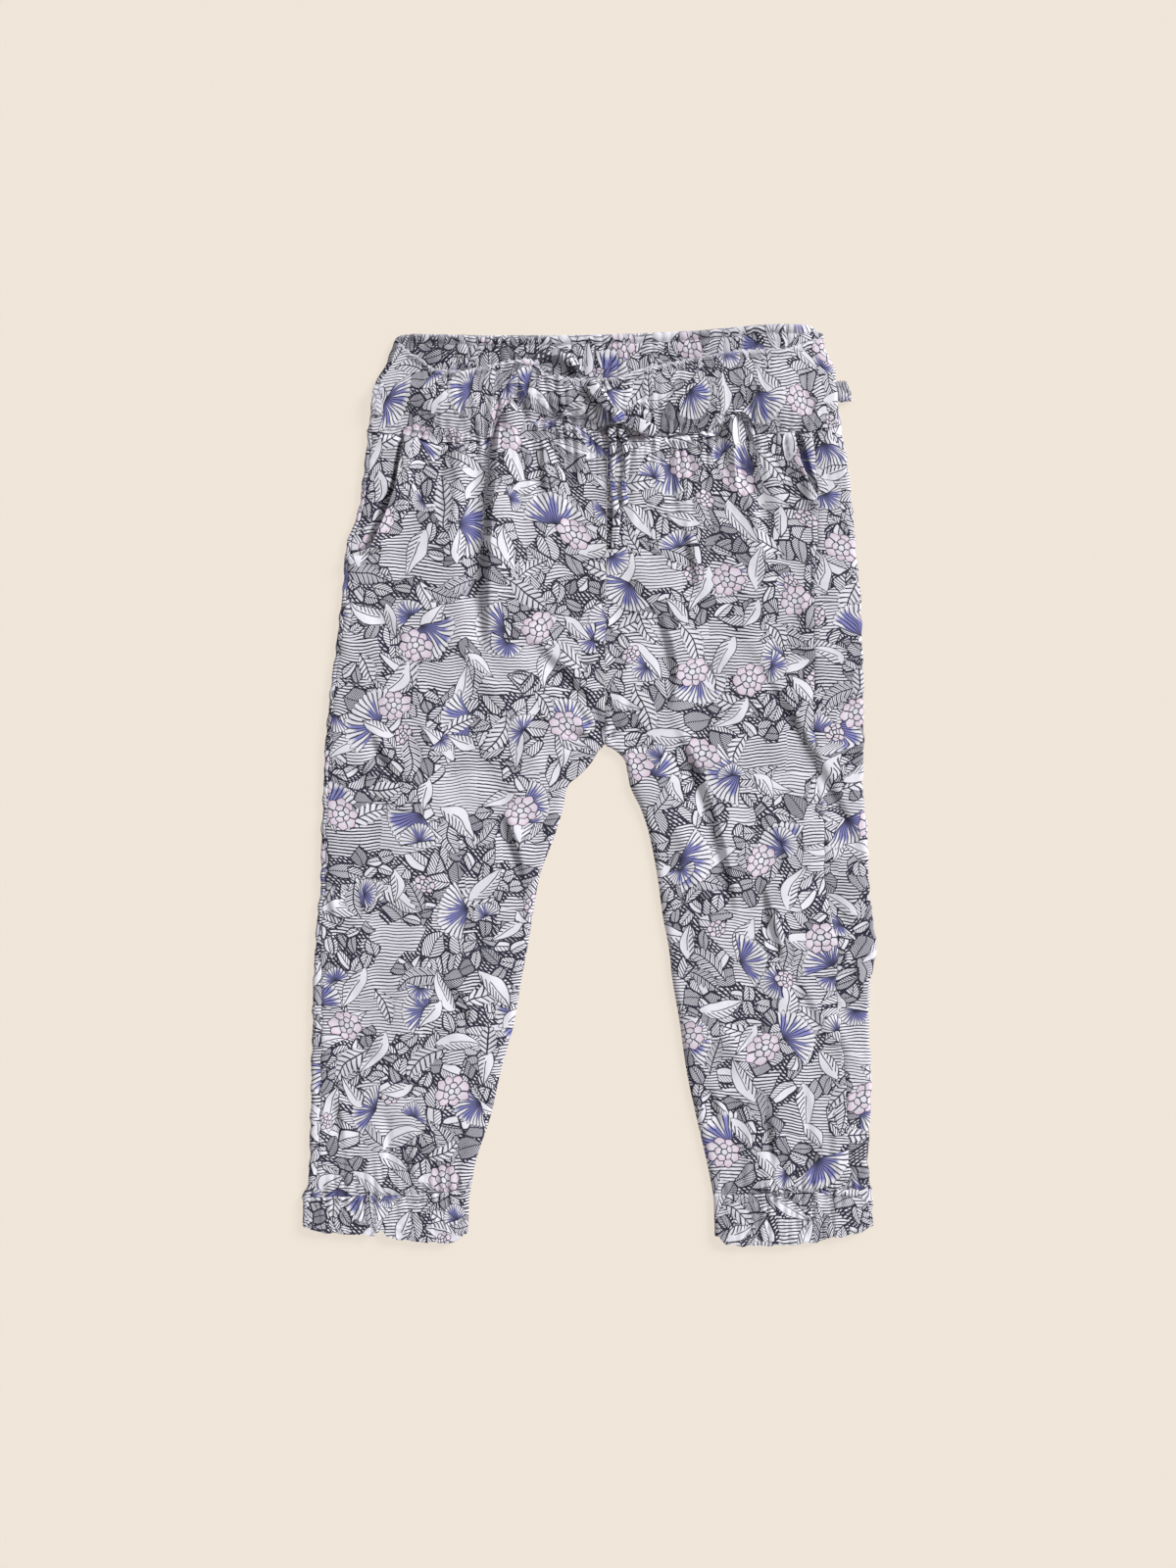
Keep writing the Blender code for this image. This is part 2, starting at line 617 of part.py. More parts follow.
def make_cuffs():
    """A hem band round each leg, in a front and a back half."""
    sides = (
        ("right", side_right, inner_right, right_hem_seam, right_hem_edge, False),
        ("left", side_left, inner_left, left_hem_seam, left_hem_edge, True),
    )
    for side_name, outer, inner, seam, edge, turn in sides:
        toward = 1.0 if outer(0.0) < 0.0 else -1.0
        inset = toward * EDGE_ROUND * np.array(EDGE_STEPS)
        middle = np.linspace(0.0, 1.0, CUFF_COLUMNS + 2)[1:-1]
        for layer in ("front", "back"):
            grid = []
            for down in CUFF_ROWS:
                count = len(inset)
                y = np.full(CUFF_COLUMNS + 2 * count, NOMINAL_HEM)
                for _ in range(3):
                    start = outer(y) + toward * EDGE_ROUND
                    end = inner(y) - toward * EDGE_ROUND
                    x = start.copy()
                    x[:count] = outer(y[:count]) + inset
                    x[count:-count] = start[count:-count] + middle * (end - start)[count:-count]
                    x[-count:] = inner(y[-count:]) - inset[::-1]
                    y = seam(x) + down * (edge(x) - seam(x))
                nearest = np.minimum(np.abs(x - x[0]), np.abs(x - x[-1]))
                wave = CUFF_WAVE * np.sin(x * CUFF_WAVE_RATE) + CUFF_WAVE * math.sin(math.pi * down)
                z = rounded(nearest, BAND_EDGE_TOP, CUFF_TOP + wave)
                if layer == "back":
                    z = np.zeros(len(x))
                grid.append(np.stack([x, y, z], axis=-1))
            cuff_turn = turn if layer == "back" else not turn
            name = f"cuff_{layer}_{side_name}"
            cloth(name, np.array(grid), BAND_CLOTH, "waistband_cotton", cuff_turn)


def surface_under(x, y, reach):
    """Highest cloth near a point, so that what lies on it clears every bump."""
    best = 0.0
    for dx in (-reach, 0.0, reach):
        for dy in (-2.0, 0.0, 2.0):
            px, py = np.array([x + dx]), np.array([y + dy])
            on_band = py[0] > waist_seam(px)[0] - 0.5
            height = band_height(px, py)[0] if on_band else front_height(px, py)[0]
            best = max(best, float(height))
    return best


def ribbon(name, path, width, thickness, material):
    """A narrow strip that lies on the cloth along a path."""
    path = np.array(path)
    runs = np.concatenate(([0.0], np.cumsum(np.hypot(*np.diff(path, axis=0).T))))
    count = max(4, int(runs[-1] / 5.0))
    at = np.linspace(0.0, runs[-1], count + 1)
    x = smooth_curve(runs, path[:, 0])(at)
    y = smooth_curve(runs, path[:, 1])(at)
    slope = np.stack([np.gradient(x), np.gradient(y)], axis=-1)
    slope /= np.linalg.norm(slope, axis=1)[:, None]
    base = [surface_under(px, py, width / 2.0) for px, py in zip(x, y)]
    base = np.array([max(base[max(0, i - 1):i + 2]) for i in range(len(base))])
    grid = []
    for across, crown in ((-0.5, 0.0), (0.0, 0.3), (0.5, 0.0)):
        px = x - slope[:, 1] * across * width
        py = y + slope[:, 0] * across * width
        grid.append(np.stack([px, py, base + GAP + thickness + crown], axis=-1))
    return cloth(name, np.array(grid).transpose(1, 0, 2), thickness, material, turn=True)


def folded_strap(name, start, angle, length, widths, base, height, material):
    """A strap that runs out along the cloth, turns back and returns above itself."""
    radius = height / 2.0
    reach = length - radius
    stops = [(0.0, 0.0), (reach / 2.0, 0.0), (reach, 0.0)]
    for step in range(1, FOLD_STEPS):
        turn = math.pi * step / FOLD_STEPS
        stops.append((reach + radius * math.sin(turn), radius - radius * math.cos(turn)))
    stops += [(reach, height), (reach / 2.0, height), (0.0, height)]
    ahead = np.array([math.cos(angle), math.sin(angle)])
    aside = np.array([-ahead[1], ahead[0]])
    width_at = smooth_curve((0.0, length * 0.6, length), widths)
    grid = []
    for s, z in stops:
        row = []
        for across in (-0.5, -0.17, 0.17, 0.5):
            point = np.array(start) + ahead * s + aside * across * float(width_at(s))
            row.append((point[0], point[1], base + z))
        grid.append(row)
    return cloth(name, np.array(grid), TIE_CLOTH, material)


def make_tie():
    """Knot, loops and tails of the tie at the centre of the waist."""
    knot_x, knot_y = KNOT_CENTRE
    base = surface_under(knot_x, knot_y, 5.0) + GAP
    bm = bmesh.new()
    bmesh.ops.create_uvsphere(bm, u_segments=14, v_segments=8, radius=MM)
    bmesh.ops.scale(bm, vec=KNOT_RADII, verts=bm.verts)
    centre = (knot_x * MM, knot_y * MM, (base + KNOT_RADII[2]) * MM)
    bmesh.ops.translate(bm, vec=centre, verts=bm.verts)
    mesh = bpy.data.meshes.new("tie_knot")
    bm.to_mesh(mesh)
    bm.free()
    link(mesh, "tie_knot", "tie_cotton")

    for name, path in TAIL_PATHS.items():
        ribbon(name, path, TIE_WIDTH, TIE_CLOTH, "tie_cotton")
    for name, (degrees, length, *widths) in TIE_LOOPS.items():
        angle = math.radians(degrees)
        away = max(KNOT_RADII[:2]) + GAP
        ahead = np.array([math.cos(angle), math.sin(angle)])
        start = np.array(KNOT_CENTRE) + ahead * away
        strap_base = surface_under(*(start + ahead * length / 2.0), length / 2.0) + GAP
        folded_strap(name, start, angle, length, widths, strap_base, LOOP_HEIGHT, "tie_cotton")


def make_carriers():
    """A belt carrier at each side of the waistband: one lies on it, one stands out."""
    ribbon("belt_carrier_right", CARRIER_PATH, CARRIER_WIDTH, TIE_CLOTH, "waistband_cotton")
    widest = float(side_left(SIDE_CARRIER_Y - SIDE_CARRIER_WIDTH / 2.0))
    start = (widest + SIDE_CARRIER_GAP, SIDE_CARRIER_Y)
    widths = (SIDE_CARRIER_WIDTH,) * 3
    folded_strap("belt_carrier_left", start, 0.0, SIDE_CARRIER_LENGTH, widths, GAP,
                 SIDE_CARRIER_HEIGHT, "waistband_cotton")


def main():
    for old in list(bpy.data.objects):
        bpy.data.objects.remove(old, do_unlink=True)
    collection = bpy.data.collections.new(COLLECTION_NAME)
    bpy.context.scene.collection.children.link(collection)
    make_front_legs()
    make_back_legs()
    make_pocket_sides()
    make_waistband()
    make_cuffs()
    make_tie()
    make_carriers()


main()
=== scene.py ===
# %% [markdown]
# # A small child's harem pants, laid flat
#
# The real pants are sewn from thin printed cotton: two fronts, two backs that come a little way round
# the sides, pocket sides, a waistband over elastic with a small tie, two belt carriers and banded hems.
# They lie on a pale surface with the front up. This file dresses a fixed frame of plain solids. Each
# solid is replaced by a thin shell of cloth with the same form and finer folds, and the print is worked
# out by shader nodes from each panel's own cut, the way cloth is printed before it is sewn.

# %% Load the fixed frame
import math

import bmesh
import bpy
import numpy as np
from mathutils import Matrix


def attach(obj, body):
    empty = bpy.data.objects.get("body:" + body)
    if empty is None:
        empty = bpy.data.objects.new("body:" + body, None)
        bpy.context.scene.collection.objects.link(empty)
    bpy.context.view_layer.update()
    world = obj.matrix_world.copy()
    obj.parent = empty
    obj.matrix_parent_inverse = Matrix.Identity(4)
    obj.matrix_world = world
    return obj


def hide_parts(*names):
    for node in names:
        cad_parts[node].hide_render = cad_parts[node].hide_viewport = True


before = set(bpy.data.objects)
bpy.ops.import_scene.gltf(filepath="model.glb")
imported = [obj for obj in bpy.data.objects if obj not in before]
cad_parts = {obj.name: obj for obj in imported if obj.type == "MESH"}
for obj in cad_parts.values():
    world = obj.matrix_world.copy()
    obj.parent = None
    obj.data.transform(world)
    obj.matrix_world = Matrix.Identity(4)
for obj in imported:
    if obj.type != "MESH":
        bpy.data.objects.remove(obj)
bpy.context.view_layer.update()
MM = 0.001
print("frame nodes:", len(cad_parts))

# %% [markdown]
# ## The outline
#
# A flat garment is easiest to describe by rows from the waist to the hems. Each row says where the
# sides, the centre seam or the inseams are. Smooth curves join the rows, so a handful of sizes in
# millimetres gives an outline as fine as the mesh needs.

# %% Outline tables
GAP = 0.14
NOMINAL_WAIST = 178.0
NOMINAL_HEM = -208.0
WAIST_EASE = 30.0
HEM_EASE = 14.0
CROTCH_Y = 21.0
CROTCH_EASE = 6.0

# y, side_right, wrap_right, inner_right, inner_left, wrap_left, side_left
OUTLINE = (
    (235, -98, 2.3, 9.6, 9.6, 14, 118),
    (228, -98.3, 2.3, 9.5, 9.5, 14, 118.8),
    (222, -100.2, 2.3, 9.5, 9.5, 14, 120.3),
    (210, -105.4, 2.3, 9.4, 9.4, 14, 125.2),
    (204, -109.2, 2.3, 9.4, 9.4, 14.5, 125.8),
    (192, -111.3, 2.3, 9.3, 9.3, 15, 126.8),
    (180, -112.8, 2.3, 9.2, 9.2, 15, 128.7),
    (168, -114.3, 2.3, 9.1, 9.1, 16, 130.8),
    (144, -117, 2.3, 8.8, 8.8, 17.2, 133.8),
    (120, -124.2, 2.3, 8.5, 8.5, 20, 135.8),
    (96, -126.2, 2.3, 8.3, 8.3, 24, 138.2),
    (66, -129.8, 2.3, 8, 8, 24.5, 139.2),
    (42, -132.8, 2.3, 7.8, 7.8, 25.5, 139.8),
    (CROTCH_Y, -134.6, 2.3, 7.7, 7.7, 25, 139.7),
    (17.8, -134.8, 2.3, 4.8, 13.2, 24.8, 139.7),
    (11.8, -135.2, 2.3, 1.2, 18.2, 24, 139.7),
    (5.8, -135.2, 2.3, -4.2, 19.4, 24, 139.6),
    (-0.2, -135.8, 2.3, -11, 20.6, 23, 139.3),
    (-12.2, -135.8, 2.3, -13.6, 26.2, 22, 140.2),
    (-24.2, -136.8, 2.3, -17.2, 30.2, 22, 141.8),
    (-48.2, -136.8, 2.3, -25.8, 34.8, 22.5, 142.2),
    (-66.2, -138.8, 2.3, -28.8, 37.2, 21, 144.4),
    (-84.2, -139.8, 3, -31.8, 40.6, 19.5, 146.2),
    (-96.2, -140.8, 4, -34.2, 41.8, 18, 143.8),
    (-120.2, -141.2, 5, -38.2, 45.8, 15.5, 142.2),
    (-144.2, -141.8, 5, -44.8, 49.2, 13.5, 143.6),
    (-168.2, -142.2, 5, -50.2, 54.2, 12, 143.2),
    (-192.2, -142.8, 4.5, -58, 59.8, 9.5, 141.8),
    (-204.2, -143.8, 4, -60.2, 62.2, 9, 143.4),
    (-210.2, -146.2, 4, -61.2, 63.2, 8.5, 144.2),
    (-235, -145.8, 4, -62, 64, 8, 144.4),
)

# Seam between the waistband and the front: x, y
WAIST_SEAM = (
    (-113, 180.8), (-95.8, 178.8), (-82.8, 175.3), (-65.8, 174.3), (-53, 176.5),
    (-32, 185.5), (-15.8, 185.3), (14.2, 178.8), (31.8, 177.8), (60.8, 180.2),
    (89.2, 179.2), (104.8, 179.8), (124.8, 183.2), (129, 184.8),
)
# Where pleats lift that seam: x, half width, height of the arch
PLEAT_ARCHES = (
    (-41, 8.2, 13),
    (76, 8.6, 11),
)
ARCH_ROUND = 0.6
# Top edges of the waistband: x, y
FRONT_EDGE = (
    (-98.3, 226.2), (-92.8, 221.8), (-85.8, 216.8), (-78.2, 211.8), (-65.8, 210.8),
    (-54.2, 212.8), (-41.2, 215.8), (-31, 216.8), (-20.8, 208.6), (-0.8, 206.8),
    (11.8, 207.2), (28.2, 212.2), (50.8, 216.8), (75.2, 221.2), (98.8, 222.2),
    (110.8, 225.8), (118.4, 228.6),
)
BACK_EDGE = (
    (-98, 229.6), (-80, 229.4), (-50.8, 228.8), (-20.8, 228.8), (9.2, 229.4), (49.2, 230.9),
    (74.2, 233), (97, 234.5), (110.8, 234), (115.5, 231.8), (118.4, 229.4),
)
# Hem bands: x, seam with the leg, bottom edge
RIGHT_HEM = (
    (-146.2, -210.2, -223.5), (-142, -210, -226.5), (-130, -209.6, -228),
    (-110, -209, -229.2), (-98, -208.6, -230.8), (-88, -208.2, -232.3),
    (-72, -207.4, -232.9), (-65, -206.8, -230), (-61.5, -206.4, -223),
)
LEFT_HEM = (
    (63.4, -208.8, -224), (66.8, -208.7, -231), (70.5, -208.5, -234.3),
    (102, -207.2, -234), (124, -206.2, -230.2), (138, -205.6, -227.8),
    (143.2, -205.4, -223.5),
)
# Pocket mouths: y, x
RIGHT_POCKET = (
    (117.8, -122.6), (118.6, -118), (120.4, -112.6), (130.8, -107), (143.2, -102),
    (154.2, -98.6), (166, -96.6), (178, -94.2), (190, -93.2),
)
LEFT_POCKET = (
    (147.3, 116.2), (152, 113), (161, 108.6), (178, 104.5), (190, 103),
)


# %% Smooth curves through the tables
def smooth_curve(knots, values):
    """A function that passes through the values without overshooting them."""
    order = np.argsort(knots)
    knots = np.asarray(knots, float)[order]
    values = np.asarray(values, float)[order]
    steps = np.diff(knots)
    slopes = np.diff(values) / steps
    tangents = np.concatenate(([slopes[0]], np.zeros(len(slopes) - 1), [slopes[-1]]))
    for i in range(1, len(slopes)):
        if slopes[i - 1] * slopes[i] > 0.0:
            tangents[i] = 2.0 / (1.0 / slopes[i - 1] + 1.0 / slopes[i])

    def curve(at):
        at = np.clip(at, knots[0], knots[-1])
        i = np.clip(np.searchsorted(knots, at, side="right") - 1, 0, len(steps) - 1)
        t = (at - knots[i]) / steps[i]
        rest = 1.0 - t
        start = (1.0 + 2.0 * t) * rest**2 * values[i] + t * rest**2 * steps[i] * tangents[i]
        end = (3.0 - 2.0 * t) * t**2 * values[i + 1] - rest * t**2 * steps[i] * tangents[i + 1]
        return start + end

    return curve


def columns_of(table):
    rows = np.array(table)
    return [smooth_curve(rows[:, 0], rows[:, k]) for k in range(1, rows.shape[1])]


def smoothstep(value):
    t = np.clip(value, 0.0, 1.0)
    return t * t * (3.0 - 2.0 * t)


base_right, wrap_right, inner_right, inner_left, wrap_left, base_left = columns_of(OUTLINE)
waist_base, = columns_of(WAIST_SEAM)
front_edge, = columns_of(FRONT_EDGE)
back_edge, = columns_of(BACK_EDGE)
right_hem_seam, right_hem_edge = columns_of(RIGHT_HEM)
left_hem_seam, left_hem_edge = columns_of(LEFT_HEM)
right_pocket, = columns_of(RIGHT_POCKET)
left_pocket, = columns_of(LEFT_POCKET)


def wander(s, seed):
    """An uneven wave between about -1 and 1, for puckered edges, gathers and dents."""
    first = np.sin(s + seed)
    second = 0.6 * np.sin(1.73 * s + 2.1 * seed)
    third = 0.45 * np.sin(0.41 * s + 3.7 * seed)
    return (first + second + third) / 1.6


EDGE_WOBBLE = 0.42


def side_right(y):
    return base_right(y) + EDGE_WOBBLE * wander(0.47 * y, 1.9)


def side_left(y):
    return base_left(y) + EDGE_WOBBLE * wander(0.43 * y, 4.4)


def waist_seam(x):
    y = waist_base(x)
    for centre, half_width, height in PLEAT_ARCHES:
        t = np.clip((x - centre) / half_width, -1.0, 1.0)
        y = y + height * (1.0 - t * t) ** ARCH_ROUND
    return y


def back_waist(x):
    """Lower edge of the back waistband: a straight line from side to side."""
    start, end = side_right(NOMINAL_WAIST), side_left(NOMINAL_WAIST)
    return waist_base(start) + (waist_base(end) - waist_base(start)) * (x - start) / (end - start)


print("width at the hips, mm:", round(float(side_left(40.0) - side_right(40.0)), 1))

# %% [markdown]
# ## Folds
#
# Cloth that was smoothed by hand keeps a few long creases, and many faint ones near its seams, where
# thread and elastic draw it in. The long ones are placed one by one, each with its own length, width
# and depth. The faint ones come from a few sine waves whose lengths don't match, so that no two are
# alike.

# %% Fold tables
# start x, start y, end x, end y, sideways bow, half width, height (below zero is a trough)
LONG_FOLDS = (
    (-65, 176, -70, 112, 0, 5, 0.9),
    (-36, 190, -30, 96, 0, 7, -0.8),
    (-66, 104, -58, 50, 0, 8, 0.6),
    (64, 180, 76, 146, 0, 4, -0.9),
    (88, 178, 96, 142, 0, 4, 0.9),
    (14, 110, 20, 44, 3, 6, -0.7),
    (-95, 90, -88, -190, 8, 22, 0.7),
    (104, -20, 102, -190, -5, 20, 0.7),
    (-80, 165, -84, 120, 0, 12, 0.6),
    (30, 165, 36, 110, 0, 14, 0.5),
)
SMALL_FOLDS = (
    (-92, 172, -96, 132, 1.5, 2.6, 0.7),
    (-74, 170, -76, 138, -1, 2.2, -0.6),
    (-66, 172, -70, 128, 1, 2.4, 0.6),
    (-30, 182, -26, 140, 1, 2.4, -0.7),
    (-22, 184, -21, 150, -1, 2, 0.6),
    (-12, 182, -10, 128, 1.5, 2.6, -0.6),
    (-3, 180, -4, 150, 0, 2, 0.6),
    (24, 177, 22, 132, 1, 2.6, 0.6),
    (40, 178, 44, 138, -1.5, 2.6, -0.6),
    (52, 179, 58, 128, 1, 2.8, 0.6),
    (96, 178, 98, 150, 0, 2.2, 0.5),
    (14, 96, 4, 40, 2, 4, -0.7),
    (22, 70, 12, 34, 1, 3.2, 0.6),
    (-58, 60, -24, 8, 2, 4.5, 0.6),
    (-70, 30, -40, -12, 2, 5, -0.5),
    (-118, 96, -96, 70, 1, 4, -0.5),
    (-124, 10, -104, -14, 1, 4, -0.5),
    (-132, -60, -108, -78, 1, 4, 0.5),
    (-60, -62, -88, -96, -2, 5, -0.5),
    (-46, -100, -70, -128, -1, 4, 0.5),
    (-132, -120, -112, -140, 1, 4, -0.5),
    (-70, -150, -84, -186, -1, 4, 0.5),
    (-104, -168, -100, -200, 0, 2.6, -0.5),
    (-90, -176, -88, -202, 0, 2.2, 0.5),
    (60, 16, 104, -30, 2, 5, 0.5),
    (44, -20, 62, -66, 1, 4, 0.6),
    (112, -44, 132, -74, 1, 4, -0.6),
    (76, -96, 104, -124, 1, 5, -0.5),
    (58, -112, 80, -146, 1, 4, 0.5),
    (120, -112, 134, -140, 0, 4, 0.5),
    (108, -150, 112, -198, 1, 3, -0.5),
    (82, -176, 80, -202, 0, 2.2, 0.5),
    (124, -172, 128, -200, 0, 2.6, 0.5),
    (112, 120, 108, 80, 0, 4, 0.5),
    (98, 108, 92, 76, 1, 3.6, -0.5),
)
# start x, start y, end x, end y, bow, width of the step, half width and rise of the side that lies
# on top, half width and drop of the side below it. The top side is on the left of the way it runs.
OVERLAPS = (
    (-42.2, 232, -54.6, 84, -1, 3.6, 24, 4.4, 10, -4.2),
    (-52.2, 132, -53.1, 66, 0, 4.6, 10, 1.7, 8, -2),
    (77, 144, 75, 204, 1.2, 3.2, 6, 3, 6, -2.4),
    (91, 116, 75, 162, -2, 5, 7, 1.5, 7, -1.1),
    (-33, 77, 7, 36, 1, 5, 12, 1.3, 7, -1.5),
    (31.5, 92, 41, 40, 5.5, 4.4, 11, 1.8, 7, -1.9),
    (44, 30, 74, -66, 4.2, 5, 14, 2.3, 8, -2.2),
    (84, 66, 140, -34, 2, 5, 13, 1.5, 8, -1.7),
    (88, -50, 98, -88, 0, 3.6, 8, 1.8, 6, -1.7),
    (-44, -14, -33, -50, 0.5, 4, 9, 1.7, 7, -1.8),
    (-112, 28, -99, 4, 0, 3.8, 8, 1.5, 6, -1.6),
    (48, 134, 55, 100, 0, 3.6, 8, 1.4, 6, -1.4),
    (-134, -52, -130, -72, 0, 4.6, 5, 1, 5, -1.1),
    (-129, -160, -126, -184, 0.6, 4.6, 6, 1.2, 6, -1.3),
    (90.5, -166, 94, -192, 0.6, 4.6, 6, 1.2, 6, -1.3),
    (62, -154, 68, -176, 0, 4.6, 6, 1.1, 6, -1.2),
    (108, 164, 111, 142, 0, 4, 5, 1.2, 5, -1.2),
    (-76, -96, -58, -124, 0.8, 6, 9, 0.9, 7, -1.1),
    (104, -96, 122, -132, 0.8, 6, 9, 0.9, 7, -1.1),
)
# angle in degrees from the crotch, start and end of each small crease, height
CROTCH_RAYS = (
    (24, 4, 20, -0.7),
    (41, 6, 15, 0.6),
    (57, 3, 24, -0.8),
    (79, 7, 17, 0.5),
    (104, 4, 19, -0.6),
    (126, 5, 27, -0.8),
    (142, 6, 16, 0.6),
    (161, 3, 21, -0.7),
    (183, 12, 26, -0.5),
    (352, 12, 24, -0.5),
)
# Where a pleat puffs out under its arch, and where it leaves a hollow: x, y, half widths, height
PUFFS = (
    (-39.5, 187, 4.2, 11, 2.6),
    (-46.5, 190, 3.4, 8, -4.4),
    (-33.5, 186, 2.2, 8, -1.4),
    (71, 184, 3.8, 9, 2.8),
    (79, 186, 4, 8, -4.4),
    (-84, 160, 9, 14, 0.8),
    (30, 168, 8, 10, 0.7),
)
BAND_FOLDS = (
    (-112, 196, -88, 218, 3, 4.5, -0.9),
    (-104, 204, -70, 194, 0, 8, 0.8),
    (-58, 214, -52, 178, 0, 5, -0.7),
    (-34, 216, -32, 188, 0, 5, 0.7),
    (-22, 206, -18, 188, 0, 4, -0.6),
    (-6, 204, -8, 184, 0, 4, 0.6),
    (24, 208, 30, 182, 0, 4.5, -0.7),
    (40, 210, 46, 184, 0, 6, 0.6),
    (60, 214, 62, 184, 0, 5, -0.6),
    (92, 216, 96, 182, 0, 6, 0.6),
    (106, 222, 112, 186, 0, 4, -0.7),
)
# The same kind of creases on the side that lies down, lifted off the surface
BACK_FOLDS = (
    (-96, 176, -84, 96, 3, 3, 0.5),
    (-40, 180, -34, 120, -2, 2.6, 0.6),
    (-14, 176, -6, 84, 3, 3.2, 0.4),
    (42, 178, 34, 110, 2, 2.8, 0.6),
    (96, 180, 86, 124, -3, 3, 0.5),
    (6, 60, -48, 10, 4, 4, 0.6),
    (12, 52, 62, -4, -4, 4, 0.6),
    (-70, 40, -98, -36, 3, 3.4, 0.5),
    (90, 30, 108, -48, -3, 3.4, 0.5),
    (-60, -60, -110, -92, 4, 3.6, 0.6),
    (60, -70, 116, -108, -4, 3.6, 0.5),
    (-84, -140, -96, -200, 2, 2.8, 0.6),
    (88, -136, 104, -198, -2, 2.8, 0.5),
)


# %% Relief from the tables
def span(x, first, rise, last, fall):
    """One between two places, and a soft fall to zero beside each of them."""
    return smoothstep((x - first) / rise) * smoothstep((last - x) / fall)


def bell(distance, width):
    return np.exp(-((distance / width) ** 2))


def beside_fold(x, y, x1, y1, x2, y2, bow):
    """How far along a fold each point is, as a share, and how far to its left."""
    length = math.hypot(x2 - x1, y2 - y1)
    along_x, along_y = (x2 - x1) / length, (y2 - y1) / length
    share = ((x - x1) * along_x + (y - y1) * along_y) / length
    left = (y - y1) * along_x - (x - x1) * along_y
    return share, left - bow * 4.0 * share * (1.0 - share)


# How a fold rises and fades at its two ends, as shares of its length: start, rise, end, fall
FOLD_ENDS = (-0.1, 0.25, 1.1, 0.25)
OVERLAP_ENDS = (-0.15, 0.55, 1.15, 0.55)
# Bow and half width of a short crease at the crotch, in mm
CREASE_BOW = 0.8
CREASE_WIDTH = 1.5


def relief(x, y, folds):
    total = np.zeros(np.broadcast(x, y).shape)
    for *line, half_width, height in folds:
        share, left = beside_fold(x, y, *line)
        total = total + height * span(share, *FOLD_ENDS) * bell(left, half_width)
    return total


def overlap_relief(x, y):
    """Folds where one side lies over the other, with a sharp step between them."""
    total = np.zeros(np.broadcast(x, y).shape)
    for *line, step, wide, rise, narrow, drop in OVERLAPS:
        share, left = beside_fold(x, y, *line)
        over = smoothstep(left / step + 0.5)
        sides = over * rise * bell(left, wide) + (1.0 - over) * drop * bell(left, narrow)
        total = total + span(share, *OVERLAP_ENDS) * sides
    return total


def puffs(x, y):
    total = np.zeros(np.broadcast(x, y).shape)
    for centre_x, centre_y, half_x, half_y, height in PUFFS:
        total = total + height * bell(x - centre_x, half_x) * bell(y - centre_y, half_y)
    return total


def crotch_creases():
    """The short creases that spread from the crotch, as rows of the fold table."""
    x, y = float(inner_right(CROTCH_Y)), CROTCH_Y
    rows = []
    for degrees, start, end, height in CROTCH_RAYS:
        c, s = math.cos(math.radians(degrees)), math.sin(math.radians(degrees))
        line = (x + c * start, y + s * start, x + c * end, y + s * end)
        rows.append((*line, CREASE_BOW, CREASE_WIDTH, height))
    return rows


CROTCH_FOLDS = crotch_creases()
print("placed folds:", sum(map(len, (LONG_FOLDS, SMALL_FOLDS, OVERLAPS, CROTCH_FOLDS, BAND_FOLDS))))


# %% Gathers, dents and soft waves
EDGE_CALM = 7.0
# Height of the gathers, and how far they reach from the waist or the hem
WAIST_GATHER = 1.3
WAIST_REACH = 19.0
HEM_GATHER = 0.65
HEM_REACH = 14.0
CALM_GATHER = 0.3
# Where the front is drawn up most: first x, rise, last x, fall
DRAWN_FRONT = (-76.0, 26.0, 104.0, 40.0)
WAIST_SWELL = 2.5
CRUMPLE = 0.8
SEAM_PUCKER = 0.45
SOFT_WAVE = 0.42


def swells(x, y, seed, apart, long):
    """Uneven waves about a distance apart and about a length long, between about -2 and 2."""
    chance = np.random.default_rng(seed)
    total = np.zeros(np.broadcast(x, y).shape)
    for _ in range(14):
        across = math.tau / apart * chance.uniform(0.55, 1.45)
        down = math.tau / long * chance.normal()
        total = total + np.sin(across * x + down * y + chance.uniform(0.0, math.tau))
    return total / math.sqrt(7.0)


def ruched(x, y, seed, apart, long):
    """Cloth drawn up by elastic: rounded ridges with narrow valleys, none like the next."""
    return np.clip(np.abs(swells(x, y, seed, apart, long)), 0.0, 2.0) - 0.8


def calm(x, y):
    """Zero at the outer edges and inseams, one away from them."""
    nearest = np.minimum(x - side_right(y), side_left(y) - x)
    above = smoothstep((y - CROTCH_Y + CROTCH_EASE) / CROTCH_EASE)
    inseam = np.maximum(inner_right(y) - x, x - inner_left(y))
    nearest = np.minimum(nearest, inseam + above * 2.0 * EDGE_CALM)
    return smoothstep(nearest / EDGE_CALM)


def crumple(x, y):
    """Small uneven dents, as in cloth that is drawn up from two sides."""
    return CRUMPLE * ruched(x, y, seed=3, apart=6.5, long=9.0)


def right_seam(y):
    return side_right(y) + wrap_right(y)


def left_seam(y):
    return side_left(y) - wrap_left(y)


def hem_seam_y(x):
    return np.where(x < 0.0, right_hem_seam(x), left_hem_seam(x))


def from_bands(x, y):
    """How far each point is below the waistband and above its hem band."""
    return waist_seam(x) - y, y - hem_seam_y(x)


